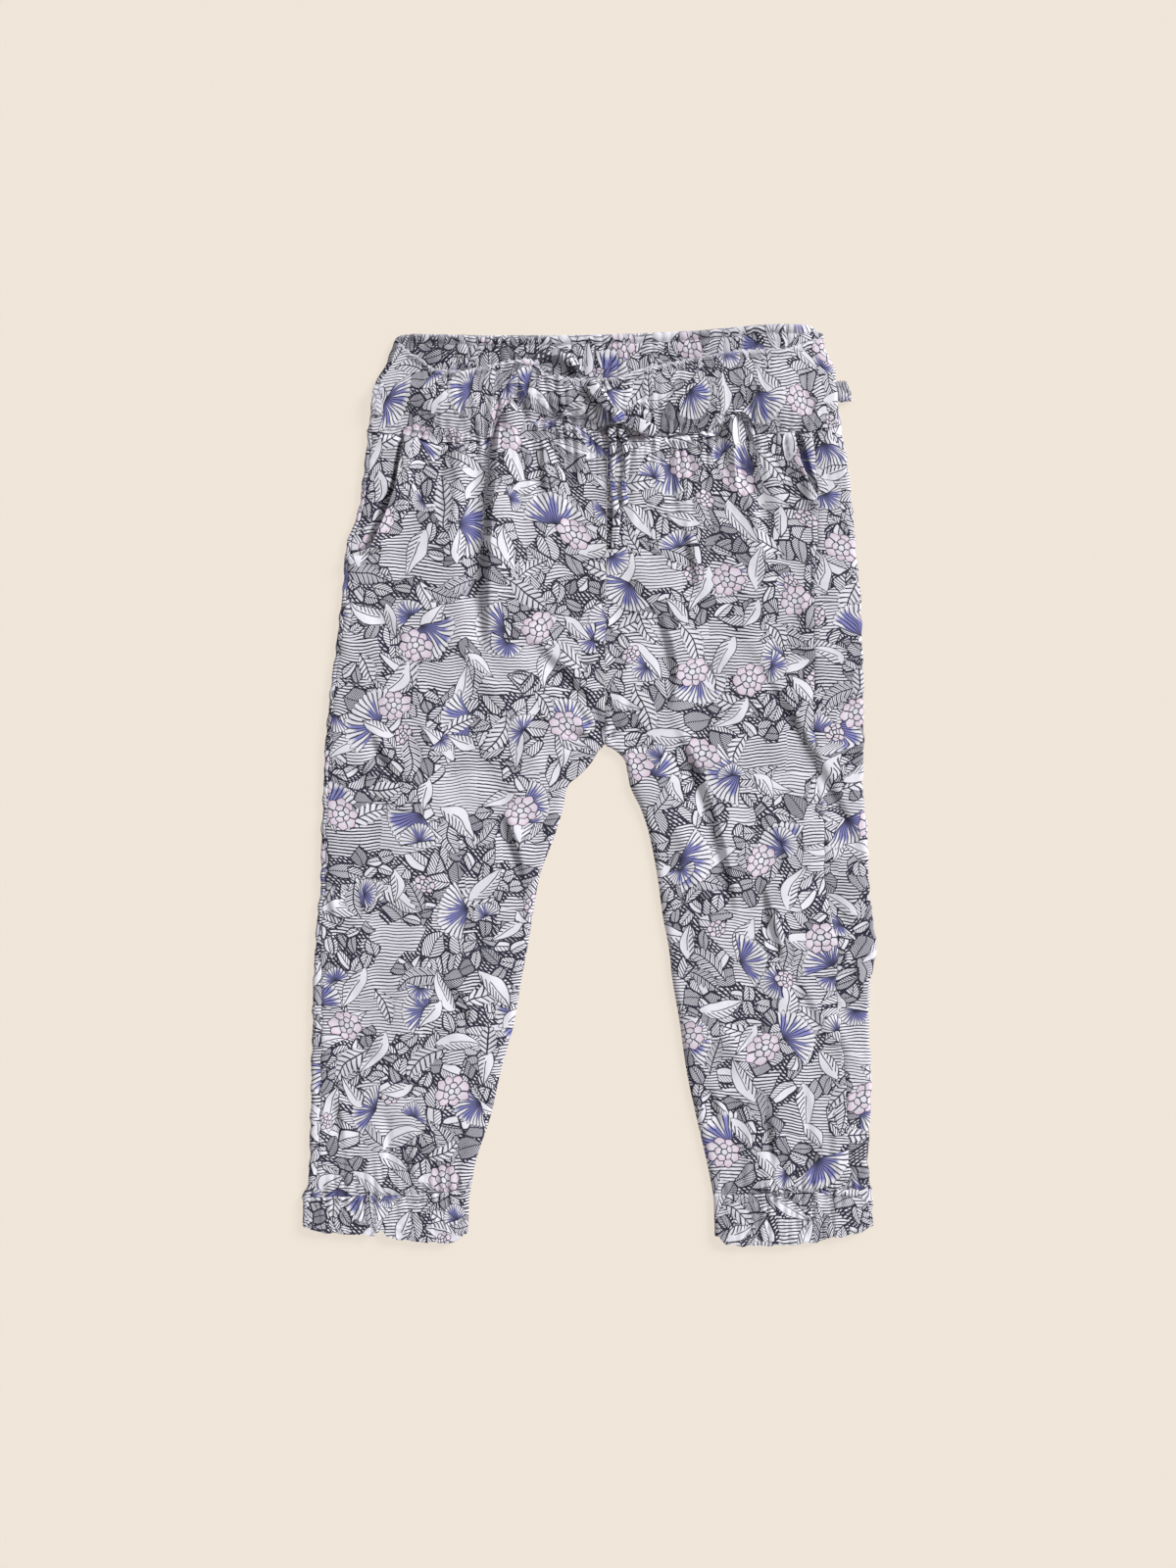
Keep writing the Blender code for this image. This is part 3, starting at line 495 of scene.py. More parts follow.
def gathers(x, y):
    """What the elastic and the hem bands draw in, strongest at the seam."""
    below_waist, above_hem = np.maximum(from_bands(x, y), 0.0)
    drawn = CALM_GATHER + (1.0 - CALM_GATHER) * span(x, *DRAWN_FRONT)
    waist = WAIST_GATHER * drawn * ruched(x, y, seed=11, apart=9.0, long=70.0)
    waist = waist * np.exp(-below_waist / WAIST_REACH)
    hem = HEM_GATHER * ruched(x, y, seed=12, apart=10.0, long=60.0) * np.exp(-above_hem / HEM_REACH)
    dents = crumple(x, y) * (1.3 * drawn * np.exp(-below_waist / 8.0) + 0.6 * np.exp(-above_hem / 7.0))
    swelling = WAIST_SWELL * smoothstep(below_waist / 3.0) * np.exp(-below_waist / 10.0)
    return waist + hem + dents + swelling


def seam_puckers(x, y):
    """Small dimples along the side seams and the centre seam, and the groove of the seam itself."""
    side = np.abs(x - np.where(x < 0.0, right_seam(y), left_seam(y)))
    centre = np.abs(x - inner_right(y)) + 40.0 * smoothstep((CROTCH_Y - y) / 4.0)
    pucker = ruched(y, x, seed=41, apart=8.0, long=30.0) * np.exp(-side / 3.4)
    pucker = pucker + ruched(y, x, seed=42, apart=9.5, long=30.0) * np.exp(-centre / 3.4)
    return SEAM_PUCKER * pucker - (0.3 * bell(side, 1.1) + 0.2 * bell(centre, 1.1))


def soft_waves(x, y):
    """Broad shallow waves, as in cloth that was smoothed by hand."""
    first = np.sin(0.13 * x + 0.05 * y + 0.6) * np.sin(0.07 * y - 0.03 * x)
    second = np.sin(0.21 * x - 0.11 * y + 2.0) * np.sin(0.043 * y + 1.0)
    third = np.sin(0.34 * x + 0.19 * y) * np.sin(0.09 * y - 0.05 * x + 2.2)
    return SOFT_WAVE * (first + second + 0.5 * third)


# %% Outer face of the front
FRONT_TOP = 3.9
FRONT_LOWEST = 1.8
FRONT_HIGHEST = 9.0
LONG_GAIN = 1.3
SMALL_GAIN = 1.7
POCKET_LIP = 2.2
LIP_FOOT = 0.6
FOOT_REACH = 44.0
LIP_WIDTH = 8.0
LIP_RUN = 11.5
LIP_FADE = 10.0
UNDER_SEAM = 1.6
TUCKED_TOP = 2.25
SEAM_SINK = 1.0
ARCH_SINK = 2.0
LOWEST_OUTER = 1.75


def plain_height(x, y):
    """Outer face of the front above the surface, away from the pocket mouths."""
    folds = LONG_GAIN * relief(x, y, LONG_FOLDS) + SMALL_GAIN * relief(x, y, SMALL_FOLDS)
    folds = folds + overlap_relief(x, y) + SMALL_GAIN * relief(x, y, CROTCH_FOLDS)
    folds = folds + gathers(x, y) + soft_waves(x, y) + puffs(x, y)
    height = FRONT_TOP + calm(x, y) * folds
    return np.clip(height, FRONT_LOWEST, FRONT_HIGHEST) + seam_puckers(x, y)


def pocket_lip(x, y):
    """How far the front stands up along each pocket mouth."""
    lips = []
    for table, mouth in ((RIGHT_POCKET, right_pocket), (LEFT_POCKET, left_pocket)):
        foot = table[0][0]
        along = smoothstep((y - foot + LIP_RUN) / LIP_FADE)
        along = along * (1.0 + LIP_FOOT * smoothstep((foot + FOOT_REACH - y) / 18.0))
        lips.append(along * bell(x - mouth(y), LIP_WIDTH))
    return POCKET_LIP * np.maximum(*lips)


def arch_share(x):
    """One in the middle of each arch of the waistband, zero beside it."""
    share = np.zeros(np.shape(x))
    for centre, half_width, _ in PLEAT_ARCHES:
        share = share + np.clip(1.0 - ((x - centre) / half_width) ** 2, 0.0, 1.0)
    return share


def tucked(x, y, height):
    """The cloth sinks towards the bands and drops where it runs in under them."""
    below_waist, above_hem = from_bands(x, y)
    nearest = np.minimum(below_waist, above_hem)
    under = smoothstep((UNDER_SEAM - nearest) / (2.0 * UNDER_SEAM))
    waist_sink = (SEAM_SINK + ARCH_SINK * arch_share(x)) * np.exp(-np.maximum(below_waist, 0.0) / 2.2)
    hem_sink = SEAM_SINK * np.exp(-np.maximum(above_hem, 0.0) / 4.0)
    height = np.maximum(height - waist_sink - hem_sink, LOWEST_OUTER)
    return height + (np.minimum(height, TUCKED_TOP) - height) * under


sample = np.linspace(-90.0, 100.0, 200)
print("front relief at y = 120, mm:", np.round(np.ptp(plain_height(sample, 120.0 + 0.0 * sample)), 2))

# %% [markdown]
# ## From points to cloth
#
# Every panel is a grid of outer points. Beside each point goes its place in the flat cut, which is kept
# as a UV map named "cut", so that the print runs round a fold without stretching. A Solidify modifier
# gives the cloth its wall, and a small Bevel rounds the raw rims.


# %% Cloth from a grid
def link(mesh, name, material):
    mesh.materials.append(material)
    mesh.shade_smooth()
    piece = bpy.data.objects.new(name, mesh)
    bpy.context.scene.collection.objects.link(piece)
    return piece


def cloth(name, points, cut, thickness, material, ring=False, flip=False, painted_highlight=None):
    """Rows by columns of points in mm. A ring closes across, and its cut has one more column."""
    rows, columns = points.shape[:2]
    across = columns if ring else columns - 1
    index = np.arange(rows * columns).reshape(rows, columns)
    beside = np.roll(index, -1, axis=1)
    faces = np.stack(
        [index[:-1, :across], beside[:-1, :across], beside[1:, :across], index[1:, :across]], axis=-1
    ).reshape(-1, 4)
    corners = np.stack([cut[:-1, :-1], cut[:-1, 1:], cut[1:, 1:], cut[1:, :-1]], axis=2)
    corners = corners.reshape(-1, 4, 2)
    if flip:
        faces = faces[:, ::-1]
        corners = corners[:, ::-1]
    mesh = bpy.data.meshes.new(name)
    mesh.from_pydata((points.reshape(-1, 3) * MM).tolist(), [], faces.tolist())
    layer = mesh.uv_layers.new(name="cut")
    layer.data.foreach_set("uv", (corners * MM).ravel())
    # The point attribute below is a painted highlight, not wear: the materials make the print paler where
    # it is above zero, along folded edges.
    if painted_highlight is not None:
        mesh.attributes.new("painted_highlight", "FLOAT", "POINT").data.foreach_set("value", painted_highlight.ravel())
    piece = link(mesh, name + "_cloth", material)
    wall = piece.modifiers.new("wall", "SOLIDIFY")
    wall.thickness = thickness * MM
    wall.offset = -1.0
    rim = piece.modifiers.new("rim", "BEVEL")
    rim.width = 0.3 * thickness * MM
    rim.segments = 2
    rim.limit_method = "ANGLE"
    rim.angle_limit = math.radians(55.0)
    wide, long = np.ptp(cut[..., 0]), np.ptp(cut[..., 1])
    side_a, side_b = corners[:, 2] - corners[:, 0], corners[:, 3] - corners[:, 1]
    area = float(np.abs(side_a[:, 0] * side_b[:, 1] - side_a[:, 1] * side_b[:, 0]).sum() / 2.0)
    piece["cut_mm"] = (float(wide), float(long), area)
    print(f"{name}: {len(faces)} faces, cut {wide:.0f} by {long:.0f} mm")
    return piece


def settle(x_of, y, top_of, bottom_of):
    """Move the first and last rows on to their seams, and keep x on the column."""
    x = x_of(y)
    settled = y
    for _ in range(3):
        waist = (top_of(x) - NOMINAL_WAIST) * smoothstep((y - NOMINAL_WAIST + WAIST_EASE) / WAIST_EASE)
        hem = (bottom_of(x) - NOMINAL_HEM) * smoothstep((NOMINAL_HEM + HEM_EASE - y) / HEM_EASE)
        settled = y + waist + hem
        x = x_of(settled)
    return x, settled


def run_along(points):
    """Distance along each row of points, from its first one."""
    steps = np.linalg.norm(np.diff(points, axis=1), axis=2)
    return np.concatenate([np.zeros((len(points), 1)), np.cumsum(steps, axis=1)], axis=1)


# %% [markdown]
# ## Arithmetic as shader nodes
#
# The print is a drawing made of leaves, fronds, ray flowers and blossoms over a lined ground. Each
# motif is a short formula of the distance to its own centre. A small class lets the formulas be written
# as plain arithmetic, and turns every step into a Math node. A comparison gives a mask, which is one
# where it holds and zero elsewhere. Two masks are joined by a bar for either and by times for both.


# %% A value that changes over the cloth
class Field:
    """A shader value, written as plain arithmetic."""

    def __init__(self, socket):
        self.socket = socket
        self.tree = socket.id_data

    def math(self, operation, *others, clamp=False):
        return math_node(self.tree, operation, (self, *others), clamp)

    def __add__(self, other):
        return self.math("ADD", other)

    def __sub__(self, other):
        return self.math("SUBTRACT", other)

    def __rsub__(self, other):
        return math_node(self.tree, "SUBTRACT", (other, self))

    def __mul__(self, other):
        return self.math("MULTIPLY", other)

    def __truediv__(self, other):
        return self.math("DIVIDE", other)

    def __abs__(self):
        return self.math("ABSOLUTE")

    def __gt__(self, other):
        return self.math("GREATER_THAN", other)

    def __lt__(self, other):
        return self.math("LESS_THAN", other)

    def __or__(self, other):
        return self.math("MAXIMUM", other)


def math_node(tree, operation, values, clamp=False):
    node = tree.nodes.new("ShaderNodeMath")
    node.operation = operation
    node.use_clamp = clamp
    for socket, value in zip(node.inputs, values):
        plug(value, socket)
    return Field(node.outputs[0])


def plug(value, socket):
    """Link a field or a socket, or set a plain value."""
    if isinstance(value, Field):
        value = value.socket
    if isinstance(value, bpy.types.NodeSocket):
        value.id_data.links.new(value, socket)
    else:
        socket.default_value = value


def soft_step(value, width=0.22):
    """One where the value is above zero, with an edge of a width in mm."""
    return (value / width).math("ADD", 0.5, clamp=True)


def from_line(value, pitch):
    """Distance to the nearest of the lines that lie a pitch apart."""
    return abs((value / pitch).math("FRACT") - 0.5) * pitch


def clipped(value):
    return value.math("MINIMUM", 1.0).math("MAXIMUM", -1.0)


def turned(x, y, angle):
    c, s = angle.math("COSINE"), angle.math("SINE")
    return x * c + y * s, y * c - x * s


def polar(x, y):
    return (x * x + y * y).math("SQRT"), y.math("ARCTAN2", x)


def paint(mask, below, above):
    """One colour over another where the mask is one."""
    node = mask.tree.nodes.new("ShaderNodeMix")
    node.data_type = "RGBA"
    for socket, value in ((node.inputs[0], mask), (node.inputs[6], below), (node.inputs[7], above)):
        plug(value, socket)
    return node.outputs[2]


def split(output):
    node = output.id_data.nodes.new("ShaderNodeSeparateXYZ")
    plug(output, node.inputs[0])
    return [Field(socket) for socket in node.outputs]


def joined(x, y, z=0.0):
    node = x.tree.nodes.new("ShaderNodeCombineXYZ")
    for socket, value in zip(node.inputs, (x, y, z)):
        plug(value, socket)
    return node.outputs[0]


def noise(vector, scale, detail=1.0):
    node = vector.id_data.nodes.new("ShaderNodeTexNoise")
    node.noise_dimensions = "2D"
    node.inputs["Scale"].default_value = scale
    node.inputs["Detail"].default_value = detail
    plug(vector, node.inputs["Vector"])
    return split(node.outputs["Color"])


def dice(column, row, seed):
    """Three random values for each cell."""
    node = column.tree.nodes.new("ShaderNodeTexWhiteNoise")
    node.noise_dimensions = "3D"
    plug(joined(column, row, seed), node.inputs["Vector"])
    return split(node.outputs["Color"])


def scatter(u, v, spacing, jitter, seed, skew):
    """Place from one motif's centre, turned at random, and a random value. One motif a cell."""
    row = (v / spacing).math("FLOOR")
    shifted = u + row * (spacing * skew)
    column = (shifted / spacing).math("FLOOR")
    first, second, third = dice(column, row, seed)
    x = shifted - (column + 0.5) * spacing - (first - 0.5) * (2.0 * jitter)
    y = v - (row + 0.5) * spacing - (second - 0.5) * (2.0 * jitter)
    return *turned(x, y, third * math.tau), third


def other(value, factor):
    """Another random value from the same one."""
    return (value * factor).math("FRACT")


# %% [markdown]
# ## The print
#
# Off-white cotton, drawn over in dark blue-grey ink: patches of fine level lines, crowded leaves, long
# fronds, plain broad leaves, ray flowers with a violet-blue heart and pale pink blossoms. The motifs are
# painted from the ground up, so that each later one hides what lies below it, as a block print does.

# %% Inks
CLOTH_WHITE = (0.725, 0.712, 0.77, 1.0)
CLOTH_GREY = (0.36, 0.352, 0.43, 1.0)
INK = (0.027, 0.026, 0.045, 1.0)
PINK = (0.62, 0.42, 0.56, 1.0)
BLUE = (0.225, 0.228, 0.51, 1.0)
OUTLINE_INK = 0.43
# The ground's patches: width, height and how far each row is shifted, then the pitch of their lines
PATCH_WIDTH, PATCH_HEIGHT, PATCH_SHIFT = 31.0, 23.0, 13.0
LINE_PITCH = 1.6


def ground(u, v):
    """Patches of level lines, each with its own tilt and weight."""
    row = (v / PATCH_HEIGHT).math("FLOOR")
    column = ((u + row * PATCH_SHIFT) / PATCH_WIDTH).math("FLOOR")
    first, second, _ = dice(column, row, 3.0)
    across = v + u * ((first - 0.5) * 0.22)
    lines = soft_step(second * 0.15 + 0.235 - from_line(across, LINE_PITCH))
    return paint(lines, CLOTH_WHITE, INK)


def crowded_leaves(below, u, v, threshold, size, seed, half_width, rib_pitch):
    """A leaf in every cell of a Voronoi pattern, cut off where it meets its neighbours."""
    cells = []
    for feature in ("F1", "DISTANCE_TO_EDGE"):
        node = u.tree.nodes.new("ShaderNodeTexVoronoi")
        node.voronoi_dimensions = "2D"
        node.feature = feature
        node.inputs["Scale"].default_value = 1.0 / (size * MM)
        node.inputs["Randomness"].default_value = 0.95
        plug(joined(u * MM + seed, v * MM), node.inputs["Vector"])
        cells.append(node.outputs)
    centre_x, centre_y, _ = split(cells[0]["Position"])
    first, second, third = split(cells[0]["Color"])
    thicket, _, _ = noise(cells[0]["Position"], 34.0)
    to_edge = Field(cells[1]["Distance"]) * size
    x, y = turned(u - (centre_x - seed) / MM, v - centre_y / MM, first * math.tau)
    y = y + x * x * ((second - 0.5) * (0.35 / size))
    t = x / (0.95 * size)
    width = (1.0 - t * t) * (third * 0.5 + 0.8) * (size * half_width)
    inside = (width - abs(y)).math("MINIMUM", to_edge - 0.05)
    fine = second > 0.62
    pitch = fine * (0.72 - rib_pitch) * 0.6 + rib_pitch
    ribs = soft_step(third * 0.14 + 0.23 - from_line(x + abs(y) * 1.1, pitch))
    ribs = ribs * ((third > 0.35) | (y > 0.0) | fine) | soft_step(0.26 - abs(y))
    face = paint((second > 0.72) * 0.22, CLOTH_WHITE, CLOTH_GREY)
    deep = thicket > threshold + 0.03
    strokes = soft_step(0.52 - from_line(u * 0.7 + v * 0.7, 1.7))
    leaf = paint(soft_step(inside), paint(deep * strokes, below, INK), paint(ribs, face, INK))
    leaf = paint(soft_step(OUTLINE_INK - abs(inside)), leaf, INK)
    return paint(thicket > threshold, below, leaf)


def broad_leaf(below, spot, length, width):
    """A plain white leaf, ruled on one side of its midrib."""
    x, y, chance = spot
    y = y + x * x * ((other(chance, 9.0) - 0.5) * 0.044)
    t = clipped(x / length)
    inside = (1.0 - t * t) * (t * (0.45 * width) + width) - abs(y)
    rules = soft_step(0.32 - from_line(y * 0.9 + x * 0.75, 1.9)) * (y > 0.8) * (t > -0.6)
    rules = rules | soft_step(0.24 - abs(y)) * (t < 0.45) | soft_step(OUTLINE_INK - abs(inside))
    return paint(soft_step(inside), below, paint(rules, CLOTH_WHITE, INK))


def frond(below, spot, length, width, leaflet):
    """A feathered leaf: leaflets slant off a bent stem."""
    x, y, chance = spot
    y = y + x * x * ((other(chance, 13.0) - 0.5) * 0.05)
    t = clipped(x / length)
    to_gap = from_line(x - abs(y) * 0.75, leaflet)
    inside = (1.0 - t * t) * width * (to_gap * (0.76 / leaflet) + 0.62) - abs(y)
    rib = soft_step(to_gap - (0.5 * leaflet - 0.2)) * (other(chance, 5.0) > 0.5)
    ink = soft_step(abs(y) * 0.06 + 0.31 - to_gap) | rib | soft_step(0.34 - abs(y))
    ink = ink | soft_step(OUTLINE_INK - abs(inside))
    face = paint((other(chance, 3.0) > 0.6) * 0.28, CLOTH_WHITE, CLOTH_GREY)
    return paint(soft_step(inside), below, paint(ink, face, INK))


def ray_flower(below, spot, seed, least, most, rays, spread):
    """Rays from one point, streaked with blue near it and white at their tips."""
    x, y, chance = spot
    radius, angle = polar(x, y)
    reach = other(chance, 7.0) * (most - least) + least
    pitch = math.tau / rays
    to_gap = 0.5 * pitch - from_line(angle, pitch)
    streak, _, _ = dice((angle / pitch).math("FLOOR"), chance * 97.0, seed)
    tip = (to_gap * (2.0 / pitch)).math("SQRT")
    inside = reach * (tip * 0.16 + 0.84) - radius
    stain = soft_step(reach * (streak * 0.62 + 0.26) - radius, 2.6)
    wedge = soft_step(radius * 0.014 + 0.14 - to_gap * radius)
    side = spread - abs(angle)
    rim = soft_step(OUTLINE_INK - abs(inside)) | soft_step(OUTLINE_INK - abs(side) * radius)
    face = paint(wedge, paint(stain, CLOTH_WHITE, BLUE), INK)
    return paint(soft_step(inside) * (side > 0.0), below, paint(rim, face, INK))


def petals(below, radius, angle, reach, count):
    """One ring of round petals, pink at their rims."""
    pitch = math.tau / count
    to_gap = 0.5 * pitch - from_line(angle, pitch)
    inside = (to_gap * (2.0 / pitch)).math("SQRT") * (0.26 * reach) + 0.74 * reach - radius
    blush = soft_step(radius - 0.74 * reach, 0.5 * reach)
    ink = soft_step(0.32 - to_gap * radius) | soft_step(OUTLINE_INK - abs(inside))
    face = paint(blush * 0.74 + 0.04, CLOTH_WHITE, PINK)
    return paint(soft_step(inside), below, paint(ink, face, INK))


def blossom(below, spot, reach, count):
    """Two rings of petals round a small eye. Some cells stay empty."""
    x, y, chance = spot
    radius, angle = polar(x, y)
    bent = (angle * 2.0 + chance * 9.0).math("SINE") * (0.09 * reach)
    face = petals(below, radius + bent, angle + math.tau, reach, count)
    face = petals(face, radius, angle + 6.7, 0.58 * reach, count - 3.0)
    face = paint(soft_step(0.2 * reach - radius), face, CLOTH_WHITE)
    face = paint(soft_step(0.26 - abs(radius - 0.2 * reach)), face, INK)
    return paint(other(chance, 11.0) > 0.5, below, face)


# %% The print as a node group
# Crowded leaves grow where a slow noise is above the threshold. The half width is a share of the size
THICKETS = (
    {"threshold": 0.50, "size": 11.0, "seed": 0.7, "half_width": 0.42, "rib_pitch": 1.8},
    {"threshold": 0.535, "size": 7.5, "seed": 0.2, "half_width": 0.41, "rib_pitch": 1.7},
)
# Each motif from the ground up: its cells' spacing, jitter, seed and skew, then its own sizes in mm
MOTIFS = (
    (frond, (41, 8, 91, 0.29), {"length": 14.0, "width": 6.0, "leaflet": 3.0}),
    (broad_leaf, (37, 9, 33, 0.37), {"length": 13.0, "width": 4.6}),
    (ray_flower, (49, 6, 21, 0.5), {"seed": 21, "least": 13.0, "most": 19.0, "rays": 38, "spread": 1.3}),
    (frond, (57, 14, 95, 0.41), {"length": 10.0, "width": 4.6, "leaflet": 2.6}),
    (ray_flower, (50, 15, 24, 0.63), {"seed": 24, "least": 7.0, "most": 10.0, "rays": 27, "spread": 1.7}),
    (blossom, (47, 16, 77, 0.31), {"reach": 5.0, "count": 7}),
    (broad_leaf, (45, 13, 37, 0.61), {"length": 9.5, "width": 3.8}),
    (blossom, (48, 12, 51, 0.5), {"reach": 8.6, "count": 8}),
)
# Slow bends of the whole drawing in mm, and the small tremble of a hand-drawn line
BEND_U, BEND_V, TREMBLE = 5.0, 3.4, 0.32


def new_group(name, inputs, outputs):
    """An empty node group with named sockets, and the nodes at its two ends."""
    tree = bpy.data.node_groups.new(name, "ShaderNodeTree")
    for way, sockets in (("INPUT", inputs), ("OUTPUT", outputs)):
        for label, kind in sockets.items():
            tree.interface.new_socket(label, in_out=way, socket_type="NodeSocket" + kind)
    return tree, tree.nodes.new("NodeGroupInput"), tree.nodes.new("NodeGroupOutput")


def make_print_group():
    tree, start, end = new_group("meadow_print", {"Cut": "Vector"}, {"Color": "Color"})
    cut = start.outputs["Cut"]
    bend_u, bend_v, _ = noise(cut, 55.0)
    hand_u, hand_v, _ = noise(cut, 420.0)
    place_u, place_v, _ = split(cut)
    u = place_u / MM + (bend_u - 0.5) * BEND_U + (hand_u - 0.5) * TREMBLE
    v = place_v / MM + (bend_v - 0.5) * BEND_V + (hand_v - 0.5) * TREMBLE
    color = ground(u, v)
    for leaves in THICKETS:
        color = crowded_leaves(color, u, v, **leaves)
    for motif, cells, sizes in MOTIFS:
        color = motif(color, scatter(u, v, *cells), **sizes)
    plug(color, end.inputs["Color"])
    print("print group nodes:", len(tree.nodes))
    return tree


print_group = make_print_group()

# %% [markdown]
# ## Weave
#
# The cotton is a plain weave of about 28 threads to the centimetre. It is far too fine to model, so two
# crossed waves give the threads' height for a Bump node, and a slow noise makes the cloth a little
# lighter and darker, as washing does.


# %% The weave as a node group
def make_weave_group():
    tree, start, end = new_group(
        "plain_weave",
        {"Cut": "Vector", "Color": "Color", "Thread": "Float", "Fade": "Float", "Roughness": "Float"},
        {"Color": "Color", "Height": "Float", "Roughness": "Float"},
    )
    cut = start.outputs["Cut"]
    place_u, place_v, _ = split(cut)
    rate = (Field(start.outputs["Thread"]) * (MM / math.tau)).math("POWER", -1.0)
    warp = (place_u * rate).math("SINE")
    weft = (place_v * rate).math("SINE")
    slub, _, _ = noise(cut, 900.0, 2.0)
    wash, _, _ = noise(cut, 22.0, 3.0)
    value = (wash - 0.5) * Field(start.outputs["Fade"]) * 2.0 + (slub - 0.5) * 0.08 + 1.0
    scaled = tree.nodes.new("ShaderNodeVectorMath")
    scaled.operation = "SCALE"
    plug(start.outputs["Color"], scaled.inputs[0])
    plug(value, scaled.inputs["Scale"])
    plug(scaled.outputs[0], end.inputs["Color"])
    plug((warp | weft) * 0.5 + 0.5 + slub * 0.6, end.inputs["Height"])
    plug(Field(start.outputs["Roughness"]) + (slub - 0.5) * 0.12, end.inputs["Roughness"])
    return tree


weave_group = make_weave_group()

# %% Materials
SHEEN = 0.03
SHEEN_ROUGHNESS = 0.6
SPECULAR = 0.1
BUMP_STRENGTH = 0.35
THREAD_RELIEF = 0.00008
THREAD_DARK = (0.16, 0.16, 0.22, 1.0)
THREAD_LIGHT = (0.42, 0.42, 0.48, 1.0)


def new_material(name):
    material = bpy.data.materials.new(name)
    material.use_nodes = True
    return material, material.node_tree, material.node_tree.nodes["Principled BSDF"]


def make_cloth_material(name, white, thread, fade, roughness):
    """Printed cotton. White is how far the print is lightened towards the plain cloth; a painted
    highlight, read from a point attribute, lightens it further along folded edges.
    """
    material, tree, shader = new_material(name)
    cut = tree.nodes.new("ShaderNodeUVMap")
    cut.uv_map = "cut"
    drawing = tree.nodes.new("ShaderNodeGroup")
    drawing.node_tree = print_group
    weave = tree.nodes.new("ShaderNodeGroup")
    weave.node_tree = weave_group
    painted_highlight = tree.nodes.new("ShaderNodeAttribute")
    painted_highlight.attribute_name = "painted_highlight"
    bump = tree.nodes.new("ShaderNodeBump")
    bump.inputs["Strength"].default_value = BUMP_STRENGTH
    bump.inputs["Distance"].default_value = THREAD_RELIEF
    weave.inputs["Thread"].default_value = thread
    weave.inputs["Fade"].default_value = fade
    weave.inputs["Roughness"].default_value = roughness
    # Painted highlight: the attribute's value pales the print towards the plain cloth, together with
    # white.
    pale = Field(painted_highlight.outputs["Fac"]) | white
    plug(cut.outputs[0], drawing.inputs["Cut"])
    plug(cut.outputs[0], weave.inputs["Cut"])
    plug(paint(pale, drawing.outputs["Color"], CLOTH_WHITE), weave.inputs["Color"])
    plug(weave.outputs["Height"], bump.inputs["Height"])
    plug(weave.outputs["Color"], shader.inputs["Base Color"])
    plug(weave.outputs["Roughness"], shader.inputs["Roughness"])
    plug(bump.outputs["Normal"], shader.inputs["Normal"])
    shader.inputs["Metallic"].default_value = 0.0
    shader.inputs["Sheen Weight"].default_value = SHEEN
    shader.inputs["Sheen Roughness"].default_value = SHEEN_ROUGHNESS
    shader.inputs["Specular IOR Level"].default_value = SPECULAR
    return material


# name: how far the print is lightened, thread in mm, fade, roughness
COTTONS = {
    "printed_cotton": (0.0, 0.36, 0.05, 0.85),
    "waistband_cotton": (0.0, 0.36, 0.07, 0.87),
    "pocket_cotton": (0.0, 0.36, 0.05, 0.88),
    "tie_cotton": (0.0, 0.30, 0.04, 0.84),
    "carrier_cotton": (0.3, 0.36, 0.07, 0.87),
}
leg_cotton, band_cotton, pocket_cotton, tie_cotton, carrier_cotton = [
    make_cloth_material(name, *values) for name, values in COTTONS.items()
]


def make_thread_material():
    material, tree, shader = new_material("sewing_thread")
    where = tree.nodes.new("ShaderNodeTexCoord")
    tint, _, _ = noise(where.outputs["Object"], 1500.0)
    plug(paint(tint, THREAD_DARK, THREAD_LIGHT), shader.inputs["Base Color"])
    shader.inputs["Roughness"].default_value = 0.6
    shader.inputs["Sheen Weight"].default_value = 0.05
    return material


thread_material = make_thread_material()
print("materials:", len(bpy.data.materials))

# %% [markdown]
# ## Front legs
#
# Each front is one piece from the waistband to the hem. Its rows are packed closely enough, about
# 1.3 mm, for the smallest pucker. The pleat under each arch hides a fold of cloth, so the cut jumps
# sideways at the valley of the pleat, and the print breaks there as it does on real pleats.

# %% Front legs
CLOTH = 0.8
FRONT_COLUMNS = 128
LEG_ROWS = np.linspace(NOMINAL_HEM, NOMINAL_WAIST, 306)
INSEAM_ROUND = 4.0
INSEAM_LOW = 1.35
POCKET_FOOT = 116.0
# A painted highlight along the pocket mouth: how pale it makes the print, and how wide that strip is
MOUTH_HIGHLIGHT = 0.05
MOUTH_HIGHLIGHT_WIDTH = 1.4
# How far the cut of a panel sways from a straight grain
LEG_SWAY = 0.9
WAIST_DRAW = 0.32
HEM_DRAW = 0.2
# Pleats: valley x and y at the top, x and y at the foot, cloth hidden at the top
HIDDEN_PLEATS = (
    (-49, 196, -57, 100, 17),
    (79, 196, 94, 124, 15),
)
# Where each panel lies in the printed cloth: u, v in mm
PRINT_PLACE = {
    "front_leg_right": (13, 40),
    "front_leg_left": (171, 63),
    "back_leg_right": (402, 18),
    "back_leg_left": (655, 91),
    "pocket_side_right": (811, 7),
    "pocket_side_left": (902, 52),
    "waistband": (1075, 560),
    "cuff_right": (1507, 31),
    "cuff_left": (1722, 77),
    "tie": (2021, 37),
    "belt_carrier": (2105, 64),
}


def rounded(distance, low, high, reach):
    """Quarter of an ellipse from the edge's height up to the full height."""
    t = 1.0 - np.clip(distance / reach, 0.0, 1.0)
    return low + (high - low) * np.sqrt(1.0 - t * t)


def pleat_shift(x, y):
    """Cloth hidden in the pleats between the centre and a point."""
    shift = np.zeros(np.broadcast(x, y).shape)
    for top_x, top_y, foot_x, foot_y, hidden in HIDDEN_PLEATS:
        down = np.clip((top_y - y) / (top_y - foot_y), 0.0, 1.0)
        valley = top_x + (foot_x - top_x) * down
        shift = shift + hidden * (1.0 - down) * smoothstep((x - valley) / 1.6 + 0.5)
    return shift


